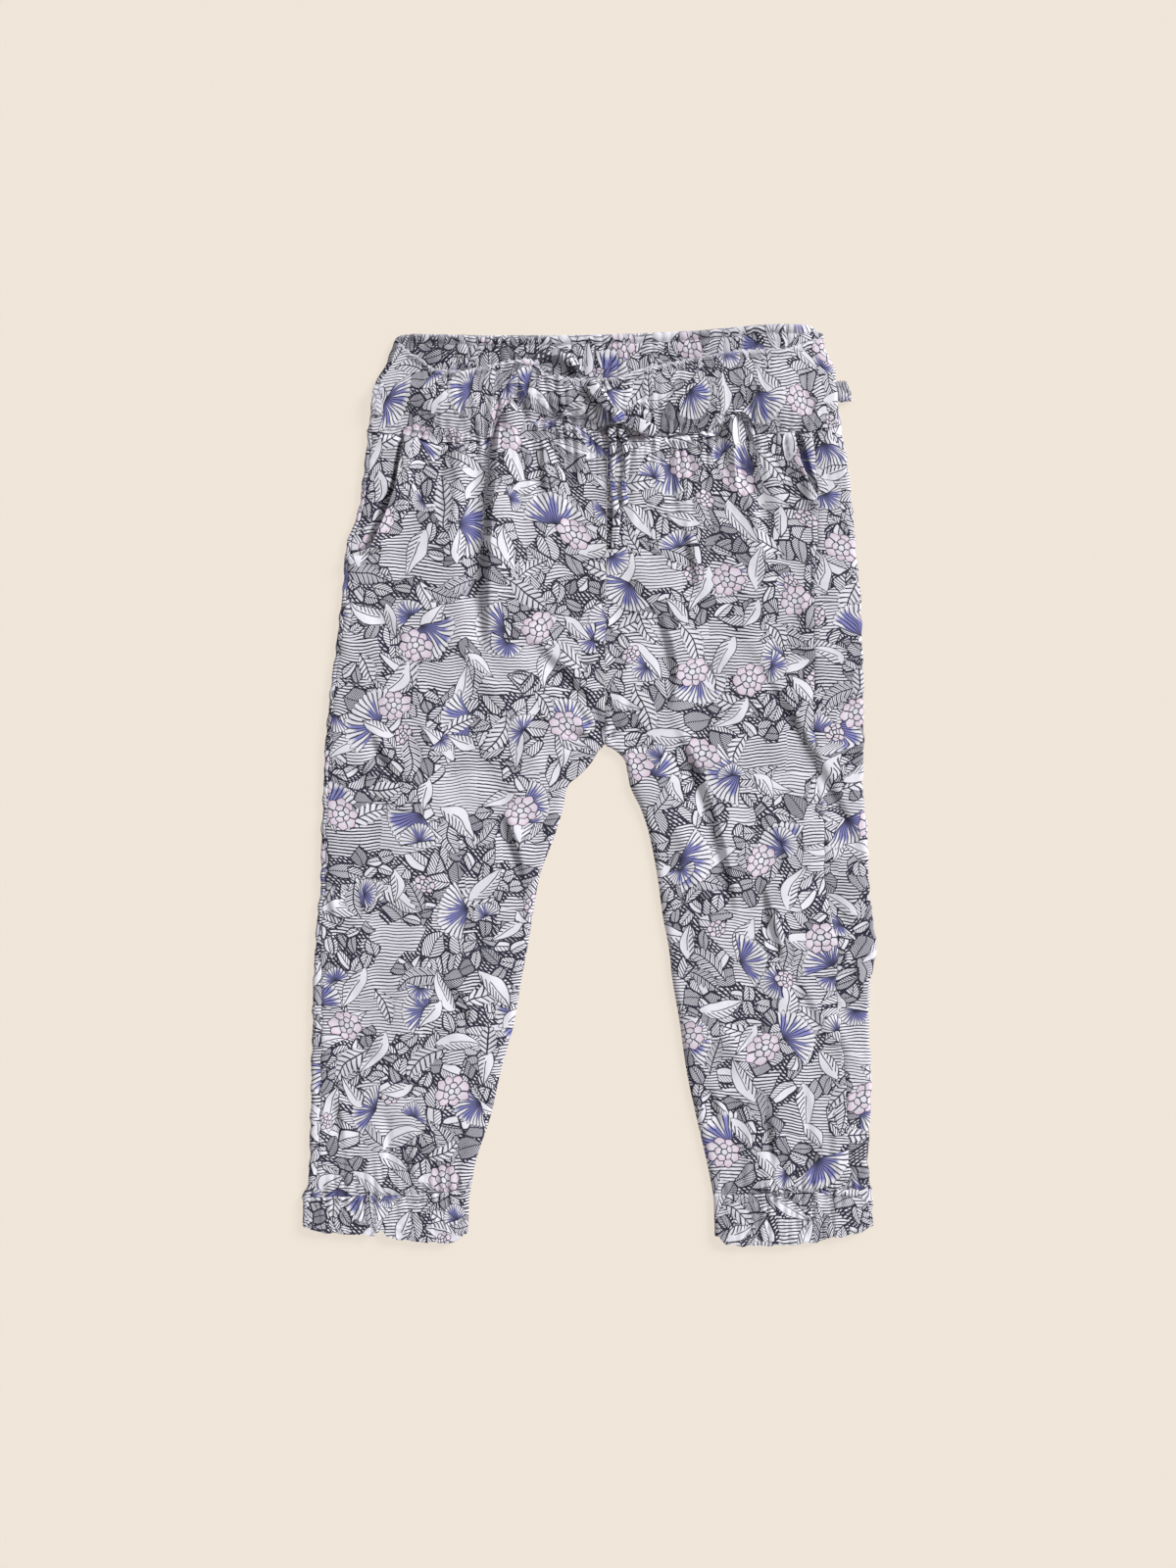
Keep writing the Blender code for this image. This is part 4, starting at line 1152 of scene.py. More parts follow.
def drawn_up(x, y, middle):
    """Extra cloth that the gathers take up, next to the bands."""
    below_waist, above_hem = np.maximum(from_bands(x, y), 0.0)
    share = WAIST_DRAW * np.exp(-below_waist / 16.0) + HEM_DRAW * np.exp(-above_hem / 12.0)
    return share * (x - middle)


def between(start, end, share):
    """A curve that runs a share of the way from one curve to another."""
    return lambda y: start(y) + (end(y) - start(y)) * share


def top_under_band(x):
    return waist_seam(x) + UNDER_SEAM


def hem_under_band(seam):
    return lambda x: seam(x) - UNDER_SEAM


def grid_of(columns):
    """Rows by columns of points, from a list of columns."""
    return np.array(columns).transpose(1, 0, 2)


def right_front_outer(y):
    seam = right_seam(y) + GAP
    return np.where(y > RIGHT_POCKET[0][0], np.maximum(seam, right_pocket(y)), seam)


def left_front_outer(y):
    seam = left_seam(y) - GAP
    return np.where(y > LEFT_POCKET[0][0], np.minimum(seam, left_pocket(y)), seam)


def make_front_leg(name, outer, inner, hem_seam, flip):
    columns = []
    for share in np.linspace(0.0, 1.0, FRONT_COLUMNS):
        x, y = settle(between(outer, inner, share), LEG_ROWS, top_under_band, hem_under_band(hem_seam))
        full = tucked(x, y, plain_height(x, y) + pocket_lip(x, y))
        at_crotch = 1.0 - smoothstep((y - CROTCH_Y + CROTCH_EASE) / (2.0 * CROTCH_EASE))
        edge = rounded(np.abs(x - inner(y)), INSEAM_LOW, full, INSEAM_ROUND)
        columns.append(np.stack([x, y, full + (edge - full) * at_crotch], axis=-1))
    points = grid_of(columns)
    x, y = points[..., 0], points[..., 1]
    across = x + pleat_shift(x, y) + drawn_up(x, y, x[:, FRONT_COLUMNS // 2].mean())
    cut = np.stack([across, y + LEG_SWAY * wander(0.16 * x, 1.5)], axis=-1) + PRINT_PLACE[name]
    # Painted highlight: a strip of paler print along the pocket mouth.
    at_mouth = smoothstep((y - POCKET_FOOT) / 12.0) * bell(x - x[:, :1], MOUTH_HIGHLIGHT_WIDTH)
    painted_highlight = MOUTH_HIGHLIGHT * at_mouth
    return cloth(name, points, cut, CLOTH, leg_cotton, flip=flip, painted_highlight=painted_highlight)


front_right = make_front_leg(
    "front_leg_right", right_front_outer, lambda y: inner_right(y) - GAP / 2.0, right_hem_seam, False
)
front_left = make_front_leg(
    "front_leg_left", left_front_outer, lambda y: inner_left(y) + GAP / 2.0, left_hem_seam, True
)

# %% [markdown]
# ## Back legs
#
# A back lies face down on the surface, turns up round the side in a soft roll and ends at the side
# seam. It is one grid, wide enough to go round the roll, and its cut is measured along the cloth.

# %% Back legs
TURN_RADIUS = FRONT_TOP / 2.0
FLOOR_COLUMNS = 70
TURN_COLUMNS = 9


def back_leg_columns(side, wrap, inner, outward, top_columns):
    """Each column's curve for x and its height, from the inseam round the side to the side seam."""
    def inner_edge(y):
        return inner(y) + outward * GAP / 2.0

    def turn_start(y):
        return side(y) - outward * TURN_RADIUS

    def side_seam(y):
        return turn_start(y) - outward * (wrap(y) - TURN_RADIUS)

    floor = np.linspace(0.0, 1.0, FLOOR_COLUMNS)[:-1]
    columns = [(between(inner_edge, turn_start, share), 0.0) for share in floor]
    for angle in np.linspace(0.0, math.pi, TURN_COLUMNS):
        reach = outward * TURN_RADIUS * math.sin(angle)
        height = TURN_RADIUS * (1.0 - math.cos(angle))
        columns.append((lambda y, reach=reach: turn_start(y) + reach, height))
    top = np.linspace(0.0, 1.0, top_columns + 1)[1:]
    return columns + [(between(turn_start, side_seam, share), FRONT_TOP) for share in top]


def make_back_leg(name, side, wrap, inner, outward, hem_seam, top_columns):
    grid = []
    for x_of, height in back_leg_columns(side, wrap, inner, outward, top_columns):
        if height > TURN_RADIUS:
            x, y = settle(x_of, LEG_ROWS, top_under_band, hem_under_band(hem_seam))
            z = tucked(x, y, plain_height(x, y)) + (height - FRONT_TOP)
        else:
            x, y = settle(x_of, LEG_ROWS, lambda x: back_waist(x) - GAP, lambda x: hem_seam(x) + GAP)
            z = height + calm(x, y) * np.clip(relief(x, y, BACK_FOLDS), 0.0, 1.0)
        grid.append(np.stack([x, y, z], axis=-1))
    points = grid_of(grid)
    cut = np.stack([outward * run_along(points), points[..., 1]], axis=-1) + PRINT_PLACE[name]
    return cloth(name, points, cut, CLOTH, leg_cotton, flip=outward > 0.0)


back_right = make_back_leg(
    "back_leg_right", side_right, wrap_right, inner_right, -1.0, right_hem_seam, 3
)
back_left = make_back_leg("back_leg_left", side_left, wrap_left, inner_left, 1.0, left_hem_seam, 18)

# %% [markdown]
# ## Pocket sides
#
# Outside each slanted mouth the side of the pocket shows. It runs in under the front, which stands up
# along the mouth and leaves a dark slit.

# %% Pocket sides
POCKET_TOP = 1.75
POCKET_UNDER = 8.0
SLIT_WIDTH = 1.3
SLIT_GAPE = 2.0
SLIT_REACH = 36.0
SLIT_SLOPE = 1.4
POCKET_COLUMNS = 26


def make_pocket_side(name, table, pocket, inward, seam):
    foot = table[0][0]
    under = between(pocket, lambda y: pocket(y) + inward, POCKET_UNDER)
    rows = LEG_ROWS[LEG_ROWS > foot + 1.0]
    grid = []
    for share in np.linspace(0.0, 1.0, POCKET_COLUMNS):
        x, y = settle(between(seam, under, share), rows, top_under_band, lambda x: NOMINAL_HEM)
        full = tucked(x, y, plain_height(x, y))
        gape = SLIT_WIDTH + SLIT_GAPE * smoothstep((foot + SLIT_REACH - y) / 12.0)
        out_of_slit = smoothstep(((pocket(y) - x) * inward - gape) / SLIT_SLOPE)
        grid.append(np.stack([x, y, POCKET_TOP + (full - POCKET_TOP) * out_of_slit], axis=-1))
    points = grid_of(grid)
    cut = points[..., :2] + PRINT_PLACE[name]
    return cloth(name, points, cut, CLOTH, pocket_cotton, flip=inward < 0.0)


pocket_right = make_pocket_side(
    "pocket_side_right", RIGHT_POCKET, right_pocket, 1.0, lambda y: right_seam(y) + GAP
)
pocket_left = make_pocket_side(
    "pocket_side_left", LEFT_POCKET, left_pocket, -1.0, lambda y: left_seam(y) - GAP
)

# %% [markdown]
# ## Waistband and hem bands
#
# A band is one strip sewn into a ring, doubled over, with elastic inside at the waist. Laid down, the
# ring is a flattened tube: a front run, a tight turn, a back run and another turn. One function makes
# all three bands, from what their front and back runs do at each level between seam and free edge.

# %% A flattened ring
TURN_STEPS = 10


def flat_ring(levels, run_x, front_y, back_y, front_z, back_z, radius, count):
    """Points of a ring of cloth that lies flat, level by level from the seam to the free edge."""
    share = np.linspace(0.0, 1.0, count)
    angles = np.linspace(0.0, math.pi, TURN_STEPS + 1)[1:-1]
    rows = []
    for level in levels:
        front = run_x(level, share, front_y)
        back = run_x(level, share[::-1], back_y)
        fy, by = front_y(front, level), back_y(back, level)
        nearest = np.minimum(np.abs(front - front[0]), np.abs(front[-1] - front))
        ends = smoothstep(nearest / 10.0)
        fz = 2.0 * radius + ends * (front_z(front, fy, level) - 2.0 * radius)
        bz = ends[::-1] * back_z(back, by, level)
        outward = np.sign(front[-1] - front[0])
        part = angles / math.pi
        turns = []
        for end_x, start_y, end_y, way, start_z in (
            (front[-1], fy[-1], by[0], outward, 1.0),
            (front[0], by[-1], fy[0], -outward, -1.0),
        ):
            x = end_x + way * radius * np.sin(angles)
            y = start_y + (end_y - start_y) * part
            z = radius + start_z * radius * np.cos(angles)
            turns.append(np.stack([x, y, z], axis=-1))
        rows.append(np.concatenate([
            np.stack([front, fy, fz], axis=-1),
            turns[0],
            np.stack([back, by, bz], axis=-1),
            turns[1],
        ]))
    return np.array(rows)


def ring_cut(points, place, draw, sway):
    """Length of cloth round the ring, which elastic draws up, and the place up and down on it."""
    middle = points[len(points) // 2]
    round_it = run_along(np.concatenate([middle, middle[:1]])[None])[0]
    heights = np.concatenate([points[..., 1], points[:, :1, 1]], axis=1)
    across = np.tile(round_it * draw, (len(points), 1))
    return np.stack([across, heights + sway * wander(0.31 * round_it, 0.8)], axis=-1) + place


# %% Waistband
BAND_TOP = 4.9
BAND_LOWEST = 3.9
BAND_HIGHEST = 9.0
BAND_CLOTH = 1.6
BAND_RADIUS = 2.2
BAND_LEVELS = np.linspace(0.0, 1.0, 54)
BAND_COLUMNS = 220
BAND_DRAW = 1.14
BAND_SWAY = 0.9
BAND_RIPPLE = 1.15
# How far the open edge stands up, where, and how much of that its upper part loses again
MOUTH_LIFT = 3.6
OPEN_MOUTH = (-100.0, 30.0, 120.0, 30.0)
LIFT_SHARE = 0.5
EDGE_DROP = 0.22
# Where the band is drawn up most, and how much of the ripple is left beside that
DRAWN_BAND = (-96.0, 60.0, 72.0, 56.0)
CALM_ENDS = 0.3
EDGE_RIDGE = 3.4
RIDGE_HEIGHT = 0.5
EDGE_GROOVE = 0.3
FRILL = 0.7
SEAM_FRILL = 0.9
FRILLED = (-113.0, 18.0, 130.0, 18.0)
SEAM_DIP = -0.9
ARCH_ROLL = 2.8
BACK_RIM = 0.7
BACK_TILT = 3.8
BACK_SWELL = (92.0, 17.0, 1.4)
# Width in mm of the painted highlight along the band's top edges
TOP_HIGHLIGHT_WIDTH = 1.1
# Painted highlights: how pale they make the print on the front's edge, on the back's edge and along the
# inside fold
FRONT_HIGHLIGHT, BACK_HIGHLIGHT, ARC_HIGHLIGHT = 0.85, 0.6, 0.1
BACK_FLOOR = 0.3
BACK_RIPPLE = 0.4
# A fold of the elastic that stands up inside the back: centre x and y, radius, height
INSIDE_ARC = (-18.5, 206.5, 13.0, 4.4)


def band_front_y(x, level):
    frill = FRILL * wander(1.7 * x, 1.3) * smoothstep((level - 0.8) / 0.2)
    ruche = wander(0.53 * x, 2.2) + 0.5 * wander(1.31 * x, 0.3)
    seam_frill = (SEAM_FRILL * ruche * span(x, *FRILLED) - 0.3) * (1.0 - smoothstep(level / 0.2))
    return waist_seam(x) + level * (front_edge(x) - waist_seam(x)) + frill + seam_frill


def band_back_y(x, level):
    return back_waist(x) + level * (back_edge(x) - back_waist(x))


def band_run_x(level, share, y_of):
    """x along one run of the band, between the two side turns."""
    x = side_right(NOMINAL_WAIST) + share * (side_left(NOMINAL_WAIST) - side_right(NOMINAL_WAIST))
    for _ in range(5):
        y = y_of(x, level)
        low, high = side_right(y) + BAND_RADIUS, side_left(y) - BAND_RADIUS
        x = low + share * (high - low)
    return x


def stitched_edge(from_edge):
    """The soft ridge of a turned edge and the groove that its stitching pulls in."""
    ridge = RIDGE_HEIGHT * smoothstep((EDGE_RIDGE - from_edge) / 1.5)
    return ridge - EDGE_GROOVE * bell(from_edge - EDGE_RIDGE - 0.4, 0.9)


def band_height(x, y, level):
    """Outer face of the front waistband, highest along its open edge."""
    lift = MOUTH_LIFT * span(x, *OPEN_MOUTH) * smoothstep(level / LIFT_SHARE)
    lift = lift * (1.0 - EDGE_DROP * smoothstep((level - LIFT_SHARE) / (1.0 - LIFT_SHARE)))
    ripple = BAND_RIPPLE * ruched(x, y, seed=21, apart=10.0, long=60.0) * (1.0 - 0.6 * level)
    ripple = ripple + crumple(x, y) * (1.0 - 0.9 * level) * (0.8 + 0.2 * wander(0.05 * x, 0.4))
    ripple = ripple * (CALM_ENDS + (1.0 - CALM_ENDS) * span(x, *DRAWN_BAND))
    whole = front_edge(x) - waist_seam(x)
    rolled = (SEAM_DIP + ARCH_ROLL * arch_share(x)) * bell(level * whole, 4.0)
    height = BAND_TOP + lift + relief(x, y, BAND_FOLDS) + ripple + rolled
    return np.clip(height, BAND_LOWEST, BAND_HIGHEST) + stitched_edge((1.0 - level) * whole)


def from_arc(x, y):
    """Distance from the middle of the inside fold, and one on the sector where it stands up."""
    centre_x, centre_y, _, _ = INSIDE_ARC
    return np.hypot(x - centre_x, y - centre_y), smoothstep((y - centre_y - 1.0) / 5.0)


def back_band_height(x, y, level):
    """The back waistband lies on the surface, drawn up a little by its elastic."""
    from_top = (1.0 - level) * (back_edge(x) - back_waist(x))
    ripple = 0.35 + BACK_RIPPLE * ruched(x, y, seed=31, apart=10.0, long=60.0)
    away, sector = from_arc(x, y)
    _, _, radius, height = INSIDE_ARC
    arc = height * sector * (0.92 + 0.08 * wander(0.8 * x, 6.0)) * bell(away - radius, 1.3)
    hollow = 1.0 - sector * smoothstep((radius - away) / 3.0)
    rim = BACK_RIM * smoothstep((EDGE_RIDGE + 1.0 - from_top) / 1.6)
    swell_x, swell_width, swell_height = BACK_SWELL
    tilt = (BACK_TILT + swell_height * bell(x - swell_x, swell_width)) * smoothstep((level - 0.48) / 0.5)
    lifted = hollow * ripple + rim + tilt + stitched_edge(from_top) + BACK_FLOOR + arc
    return np.maximum(lifted, 0.0) * smoothstep(level * 3.0)


def band_painted_highlight(points):
    """How pale the print is painted where the cloth is folded, as a painted highlight: at both edges and
    along the inside fold.
    """
    x, y = points[..., 0], points[..., 1]
    front = np.arange(points.shape[1]) < BAND_COLUMNS + TURN_STEPS // 2
    top = np.where(front, front_edge(x), back_edge(x))
    uneven = 0.75 + 0.25 * wander(1.9 * x, 5.0)
    rim_highlight = np.where(front, FRONT_HIGHLIGHT, BACK_HIGHLIGHT) * bell(top - y, TOP_HIGHLIGHT_WIDTH)
    away, sector = from_arc(x, y)
    arc = ARC_HIGHLIGHT * bell(away - INSIDE_ARC[2], 1.2) * sector
    return np.clip((rim_highlight + np.where(front, 0.0, arc)) * uneven, 0.0, 0.9)


points = flat_ring(
    BAND_LEVELS, band_run_x, band_front_y, band_back_y, band_height, back_band_height,
    BAND_RADIUS, BAND_COLUMNS
)
cut = ring_cut(points, PRINT_PLACE["waistband"], BAND_DRAW, BAND_SWAY)
# The waistband's folded edges and inside fold carry a painted highlight that pales the print.
waistband = cloth(
    "waistband", points, cut, BAND_CLOTH, band_cotton, ring=True, painted_highlight=band_painted_highlight(points)
)

# %% Hem bands
CUFF_TOP = 4.5
CUFF_RADIUS = 2.1
CUFF_HEIGHT = 23.0
CUFF_DRAW = 1.08
CUFF_SWAY = 0.5
CUFF_WAVE = 0.35
CUFF_WAVE_RATE = 0.21
CUFF_UNEVEN = 0.5
CUFF_BACK_RISE = 0.4
CUFF_RIPPLE = 0.7
CUFF_LEVELS = np.linspace(0.0, 1.0, 24)
CUFF_COLUMNS = 84
# A small notch in the right hem: x, width, depth
HEM_NOTCH = (-106.0, 2.2, 3.0)


def cuff_height(x, y, level):
    wave = CUFF_WAVE * np.sin(x * CUFF_WAVE_RATE) + CUFF_WAVE * math.sin(math.pi * level)
    ripple = CUFF_RIPPLE * ruched(x, y, seed=12, apart=10.0, long=60.0) * (1.0 - 0.6 * level)
    ripple = ripple + 0.5 * crumple(x, y)
    return CUFF_TOP + wave + ripple + stitched_edge(level * CUFF_HEIGHT)


def make_cuff(name, outer, inner, seam, edge, flip):
    toward = 1.0 if outer(0.0) < 0.0 else -1.0
    notch_x, notch_width, notch_depth = HEM_NOTCH

    def row_y(x, level, uneven):
        notch = notch_depth * bell(x - notch_x, notch_width)
        return seam(x) + level * (edge(x) + notch + uneven - seam(x))

    def front_y(x, level):
        return row_y(x, level, CUFF_UNEVEN * wander(0.5 * x, 3.3))

    def back_y(x, level):
        return row_y(x, level, CUFF_BACK_RISE)

    def run_x(level, share, y_of):
        y = np.full(len(share), NOMINAL_HEM)
        for _ in range(5):
            start = outer(y) + toward * CUFF_RADIUS
            x = start + share * (inner(y) - toward * CUFF_RADIUS - start)
            y = y_of(x, level)
        return x

    def flat(x, y, level):
        return np.zeros(len(x))

    rings = flat_ring(CUFF_LEVELS, run_x, front_y, back_y, cuff_height, flat, CUFF_RADIUS, CUFF_COLUMNS)
    laid = ring_cut(rings, PRINT_PLACE[name], CUFF_DRAW, CUFF_SWAY)
    return cloth(name, rings, laid, BAND_CLOTH, band_cotton, ring=True, flip=flip)


cuff_right = make_cuff("cuff_right", side_right, inner_right, right_hem_seam, right_hem_edge, True)
cuff_left = make_cuff("cuff_left", side_left, inner_left, left_hem_seam, left_hem_edge, False)

# %% [markdown]
# ## Tie
#
# The tie is a narrow strip of the same cotton, folded in on itself and knotted in a small bow. Each
# stretch is a soft flat tube that follows a path over the cloth, with creases that run to the knot.

# %% Tie sizes, and the strip it is made of
KNOT_CENTRE = (13.8, 187.0)
KNOT_RADII = (4.2, 3.6, 2.4)
TAIL_PATHS = {
    "tie_tail_right": ((11.6, 182.3), (11.4, 176), (12, 160), (13.2, 140), (12.8, 121)),
    "tie_tail_left": ((16.2, 182.3), (17.6, 174), (19, 163), (17.8, 151), (18.4, 143)),
}
# name: direction in degrees, length, width at the knot, widest, width at the fold
TIE_LOOPS = {
    "tie_loop_right": (128, 19, 3.4, 6, 4.6),
    "tie_loop_left": (-20, 17, 3.4, 6.4, 5),
}
TIE_WIDTH = 3.6
TAIL_THICKNESS = 1.24
LOOP_HEIGHT = 3.2
LOOP_THICKNESS = 1.0
# Steps of a loop's path: out, round the fold, back
LOOP_STEPS = (12, 9, 12)
PATH_STEP = 1.6
STRIP_SIDES = 24
STRIP_CLOTH = 0.3
CREASE_DEPTH = 0.34
UP = np.array([0.0, 0.0, 1.0])


def surface_under(x, y, reach):
    """Highest cloth near a point, so that what lies on it clears every bump."""
    best = 0.0
    for dx in (-reach, 0.0, reach):
        for dy in (-2.0, 0.0, 2.0):
            px, py = np.array([x + dx]), np.array([y + dy])
            level = (py - waist_seam(px)) / (front_edge(px) - waist_seam(px))
            on_band = py[0] > waist_seam(px)[0] - 0.5
            height = band_height(px, py, level) if on_band else plain_height(px, py)
            best = max(best, float(height[0]))
    return best


def unit(vectors):
    return vectors / np.linalg.norm(vectors, axis=-1, keepdims=True)


def smooth_path(path, step, least):
    """x, y and distance from the start, at even steps along a smooth path through a few points."""
    path = np.array(path)
    runs = run_along(path[None])[0]
    at = np.linspace(0.0, runs[-1], max(least, int(runs[-1] / step)))
    return smooth_curve(runs, path[:, 0])(at), smooth_curve(runs, path[:, 1])(at), at


def hairpin(reach, radius, out, turn, back):
    """Distance out and height of a strip that runs out, turns over and comes back on itself."""
    angles = np.linspace(0.0, math.pi, turn)[1:-1]
    away = (np.linspace(0.0, reach, out), reach + radius * np.sin(angles), np.linspace(reach, 0.0, back))
    rise = (np.zeros(out), radius * (1.0 - np.cos(angles)), np.full(back, 2.0 * radius))
    return np.concatenate(away), np.concatenate(rise)


def strip(name, centres, ahead, up, widths, thickness):
    """A soft flat tube of thin cloth through the centres, with creased faces."""
    around = np.linspace(0.0, math.tau, STRIP_SIDES + 1)[:-1]
    rows = []
    for i, centre in enumerate(centres):
        aside = np.cross(up[i], ahead[i])
        crease = 1.0 + CREASE_DEPTH * np.sin(3.0 * around + 0.35 * i) * np.abs(np.sin(around))
        across = np.sign(np.cos(around)) * np.abs(np.cos(around)) ** 0.8 * widths[i] / 2.0
        rise = np.sin(around) * thickness / 2.0 * crease
        rows.append(centre + across[:, None] * aside + rise[:, None] * up[i])
    points = np.array(rows)
    girth = float(np.linalg.norm(points - np.roll(points, 1, axis=1), axis=2).sum(axis=1).mean())
    u, v = np.meshgrid(np.linspace(0.0, girth, STRIP_SIDES + 1), run_along(centres[None])[0])
    cut = np.stack([u, v], axis=-1) + PRINT_PLACE["tie"]
    return cloth(name, points, cut, STRIP_CLOTH, tie_cotton, ring=True, flip=True)


# %% Tie tails, loops and knot
def make_tail(name, path):
    x, y, at = smooth_path(path, PATH_STEP, 12)
    x = x + 0.5 * np.sin(at / 6.0) * smoothstep(at / 12.0)
    base = np.array([surface_under(px, py, 1.2) for px, py in zip(x, y)])
    base = np.array([base[max(0, i - 2):i + 3].max() for i in range(len(base))])
    twist = 0.35 * np.sin(at / 5.5)
    centres = np.stack([x, y, base + 0.95 + 0.2 * np.sin(at / 4.0)], axis=-1)
    ahead = unit(np.gradient(centres, axis=0))
    up = np.stack([np.sin(twist), np.zeros(len(at)), np.cos(twist)], axis=-1)
    up = unit(up - ahead * np.sum(up * ahead, axis=1)[:, None])
    widths = TIE_WIDTH * (0.75 + 0.25 * np.sin(at / 7.0 + 1.0))
    widths[0] *= 0.8
    return strip(name, centres, ahead, up, widths, TAIL_THICKNESS)


def make_loop(name, degrees, length, *widths):
    angle = math.radians(degrees)
    outward = np.array([math.cos(angle), math.sin(angle), 0.0])
    start = np.array([*KNOT_CENTRE, 0.0]) + outward * (max(KNOT_RADII[:2]) + GAP - 1.2)
    middle = start + outward * length / 2.0
    base = surface_under(middle[0], middle[1], length / 2.0) + 0.9
    radius = LOOP_HEIGHT / 2.0 - 0.3
    out, turn, back = LOOP_STEPS
    away, rise = hairpin(length - radius, radius, out, turn, back)
    rise[:out] += 0.25 * np.sin(away[:out])
    rise[-back:] += 0.2 * np.sin(1.3 * away[-back:])
    centres = start + away[:, None] * outward + UP * (base + rise[:, None])
    ahead = unit(np.gradient(centres, axis=0))
    up = np.cross(ahead, np.tile(np.cross(UP, outward), (len(ahead), 1)))
    across = smooth_curve((0.0, length * 0.6, length), widths)(away)
    return strip(name, centres, ahead, up, across, LOOP_THICKNESS)


def make_knot():
    """A small wrapped bundle: a ball with the grooves of the strip that goes round it."""
    base = surface_under(*KNOT_CENTRE, 5.0) + GAP
    bm = bmesh.new()
    bmesh.ops.create_uvsphere(bm, u_segments=40, v_segments=24, radius=1.0)
    for vert in bm.verts:
        x, y, z = vert.co
        groove = 1.0 + 0.07 * math.sin(9.0 * (x * 0.8 + y * 0.6)) - 0.10 * math.exp(-((y / 0.18) ** 2))
        vert.co = (x * KNOT_RADII[0] * groove, y * KNOT_RADII[1] * groove, z * KNOT_RADII[2] * groove)
    bmesh.ops.translate(bm, vec=(*KNOT_CENTRE, base + KNOT_RADII[2]), verts=bm.verts)
    bmesh.ops.scale(bm, vec=(MM, MM, MM), verts=bm.verts)
    layer = bm.loops.layers.uv.new("cut")
    place = np.array(PRINT_PLACE["tie"]) * MM
    for face in bm.faces:
        for loop in face.loops:
            loop[layer].uv = (place[0] + loop.vert.co.x, place[1] + loop.vert.co.y)
    mesh = bpy.data.meshes.new("tie_knot")
    bm.to_mesh(mesh)
    bm.free()
    return link(mesh, "tie_knot_cloth", tie_cotton)


tails = [make_tail(name, path) for name, path in TAIL_PATHS.items()]
loops = [make_loop(name, *sizes) for name, sizes in TIE_LOOPS.items()]
knot = make_knot()
print("tie pieces:", len(tails) + len(loops) + 1)

# %% [markdown]
# ## Belt carriers
#
# A carrier is a short strap at each side seam. One lies flat on the band, and the other has turned
# sideways and stands out past the edge as a small loop.

# %% Belt carriers
CARRIER_PATH = ((-107.2, 204), (-108.4, 196.5), (-108, 188.5))
CARRIER_WIDTH = 5.0
SIDE_CARRIER_Y = 200.8
SIDE_CARRIER_WIDTH = 9.4
SIDE_CARRIER_LENGTH = 6.4
SIDE_CARRIER_HEIGHT = 2.8
SIDE_CARRIER_GAP = 0.3
SIDE_CARRIER_LEAN = 1.6
SIDE_PLY = 1.45
# Steps of the side carrier's path: out, round the fold, back
SIDE_STEPS = (8, 11, 30)
# Thickness of the cloth of the flat carrier and of the side carrier
CARRIER_CLOTH = 0.8
SIDE_CLOTH = 0.5


def make_flat_carrier():
    x, y, at = smooth_path(CARRIER_PATH, PATH_STEP, 22)
    base = max(surface_under(px, py, CARRIER_WIDTH / 2.0) for px, py in zip(x[::4], y[::4]))
    grid = []
    for across in np.linspace(-0.5, 0.5, 11):
        crown = 0.35 * math.cos(math.pi * across) + 0.12 * np.sin(at / 1.7)
        grid.append(np.stack([x + across * CARRIER_WIDTH, y, base + 0.9 + crown], axis=-1))
    points = grid_of(grid)
    cut = points[..., :2] + PRINT_PLACE["belt_carrier"]
    return cloth("belt_carrier_right", points, cut, CARRIER_CLOTH, carrier_cotton, flip=True)


def make_side_carrier():
    radius = SIDE_CARRIER_HEIGHT / 2.0
    across = np.linspace(-0.5, 0.5, 18)
    grid = []
    for away, rise in zip(*hairpin(SIDE_CARRIER_LENGTH - radius, radius, *SIDE_STEPS)):
        frayed = 1.0 + 0.14 * math.sin(9.7 * away) + 0.06 * math.sin(23.0 * away)
        ply = 0.75 * abs(math.sin(math.pi * away / SIDE_PLY)) * (rise / (2.0 * radius))
        y = SIDE_CARRIER_Y + across * SIDE_CARRIER_WIDTH * frayed
        lean = SIDE_CARRIER_LEAN * across * away / SIDE_CARRIER_LENGTH
        x = side_left(y) + SIDE_CARRIER_GAP + away - lean
        grid.append(np.stack([x, y, np.full(len(y), GAP + rise + ply)], axis=-1))
    points = np.array(grid)
    lengths = run_along(points.transpose(1, 0, 2))[len(across) // 2]
    u, v = np.meshgrid(points[0, :, 1], lengths)
    cut = np.stack([u, v], axis=-1) + PRINT_PLACE["belt_carrier"]
    return cloth("belt_carrier_left", points, cut, SIDE_CLOTH, carrier_cotton)


carriers = [make_flat_carrier(), make_side_carrier()]

# %% [markdown]
# ## Stitches
#
# Rows of topstitching hold the bands and the pocket mouths. Each stitch is a short soft bead of thread
# that dips into the cloth at both ends. A row is worked out by walking along its seam, and all the
# stitches of a row are one mesh.

# %% Rows of stitches
STITCH_LENGTH = 2.5
STITCH_GAP = 0.8
STITCH_RADIUS = 0.22

STITCH_INSET = 3.8


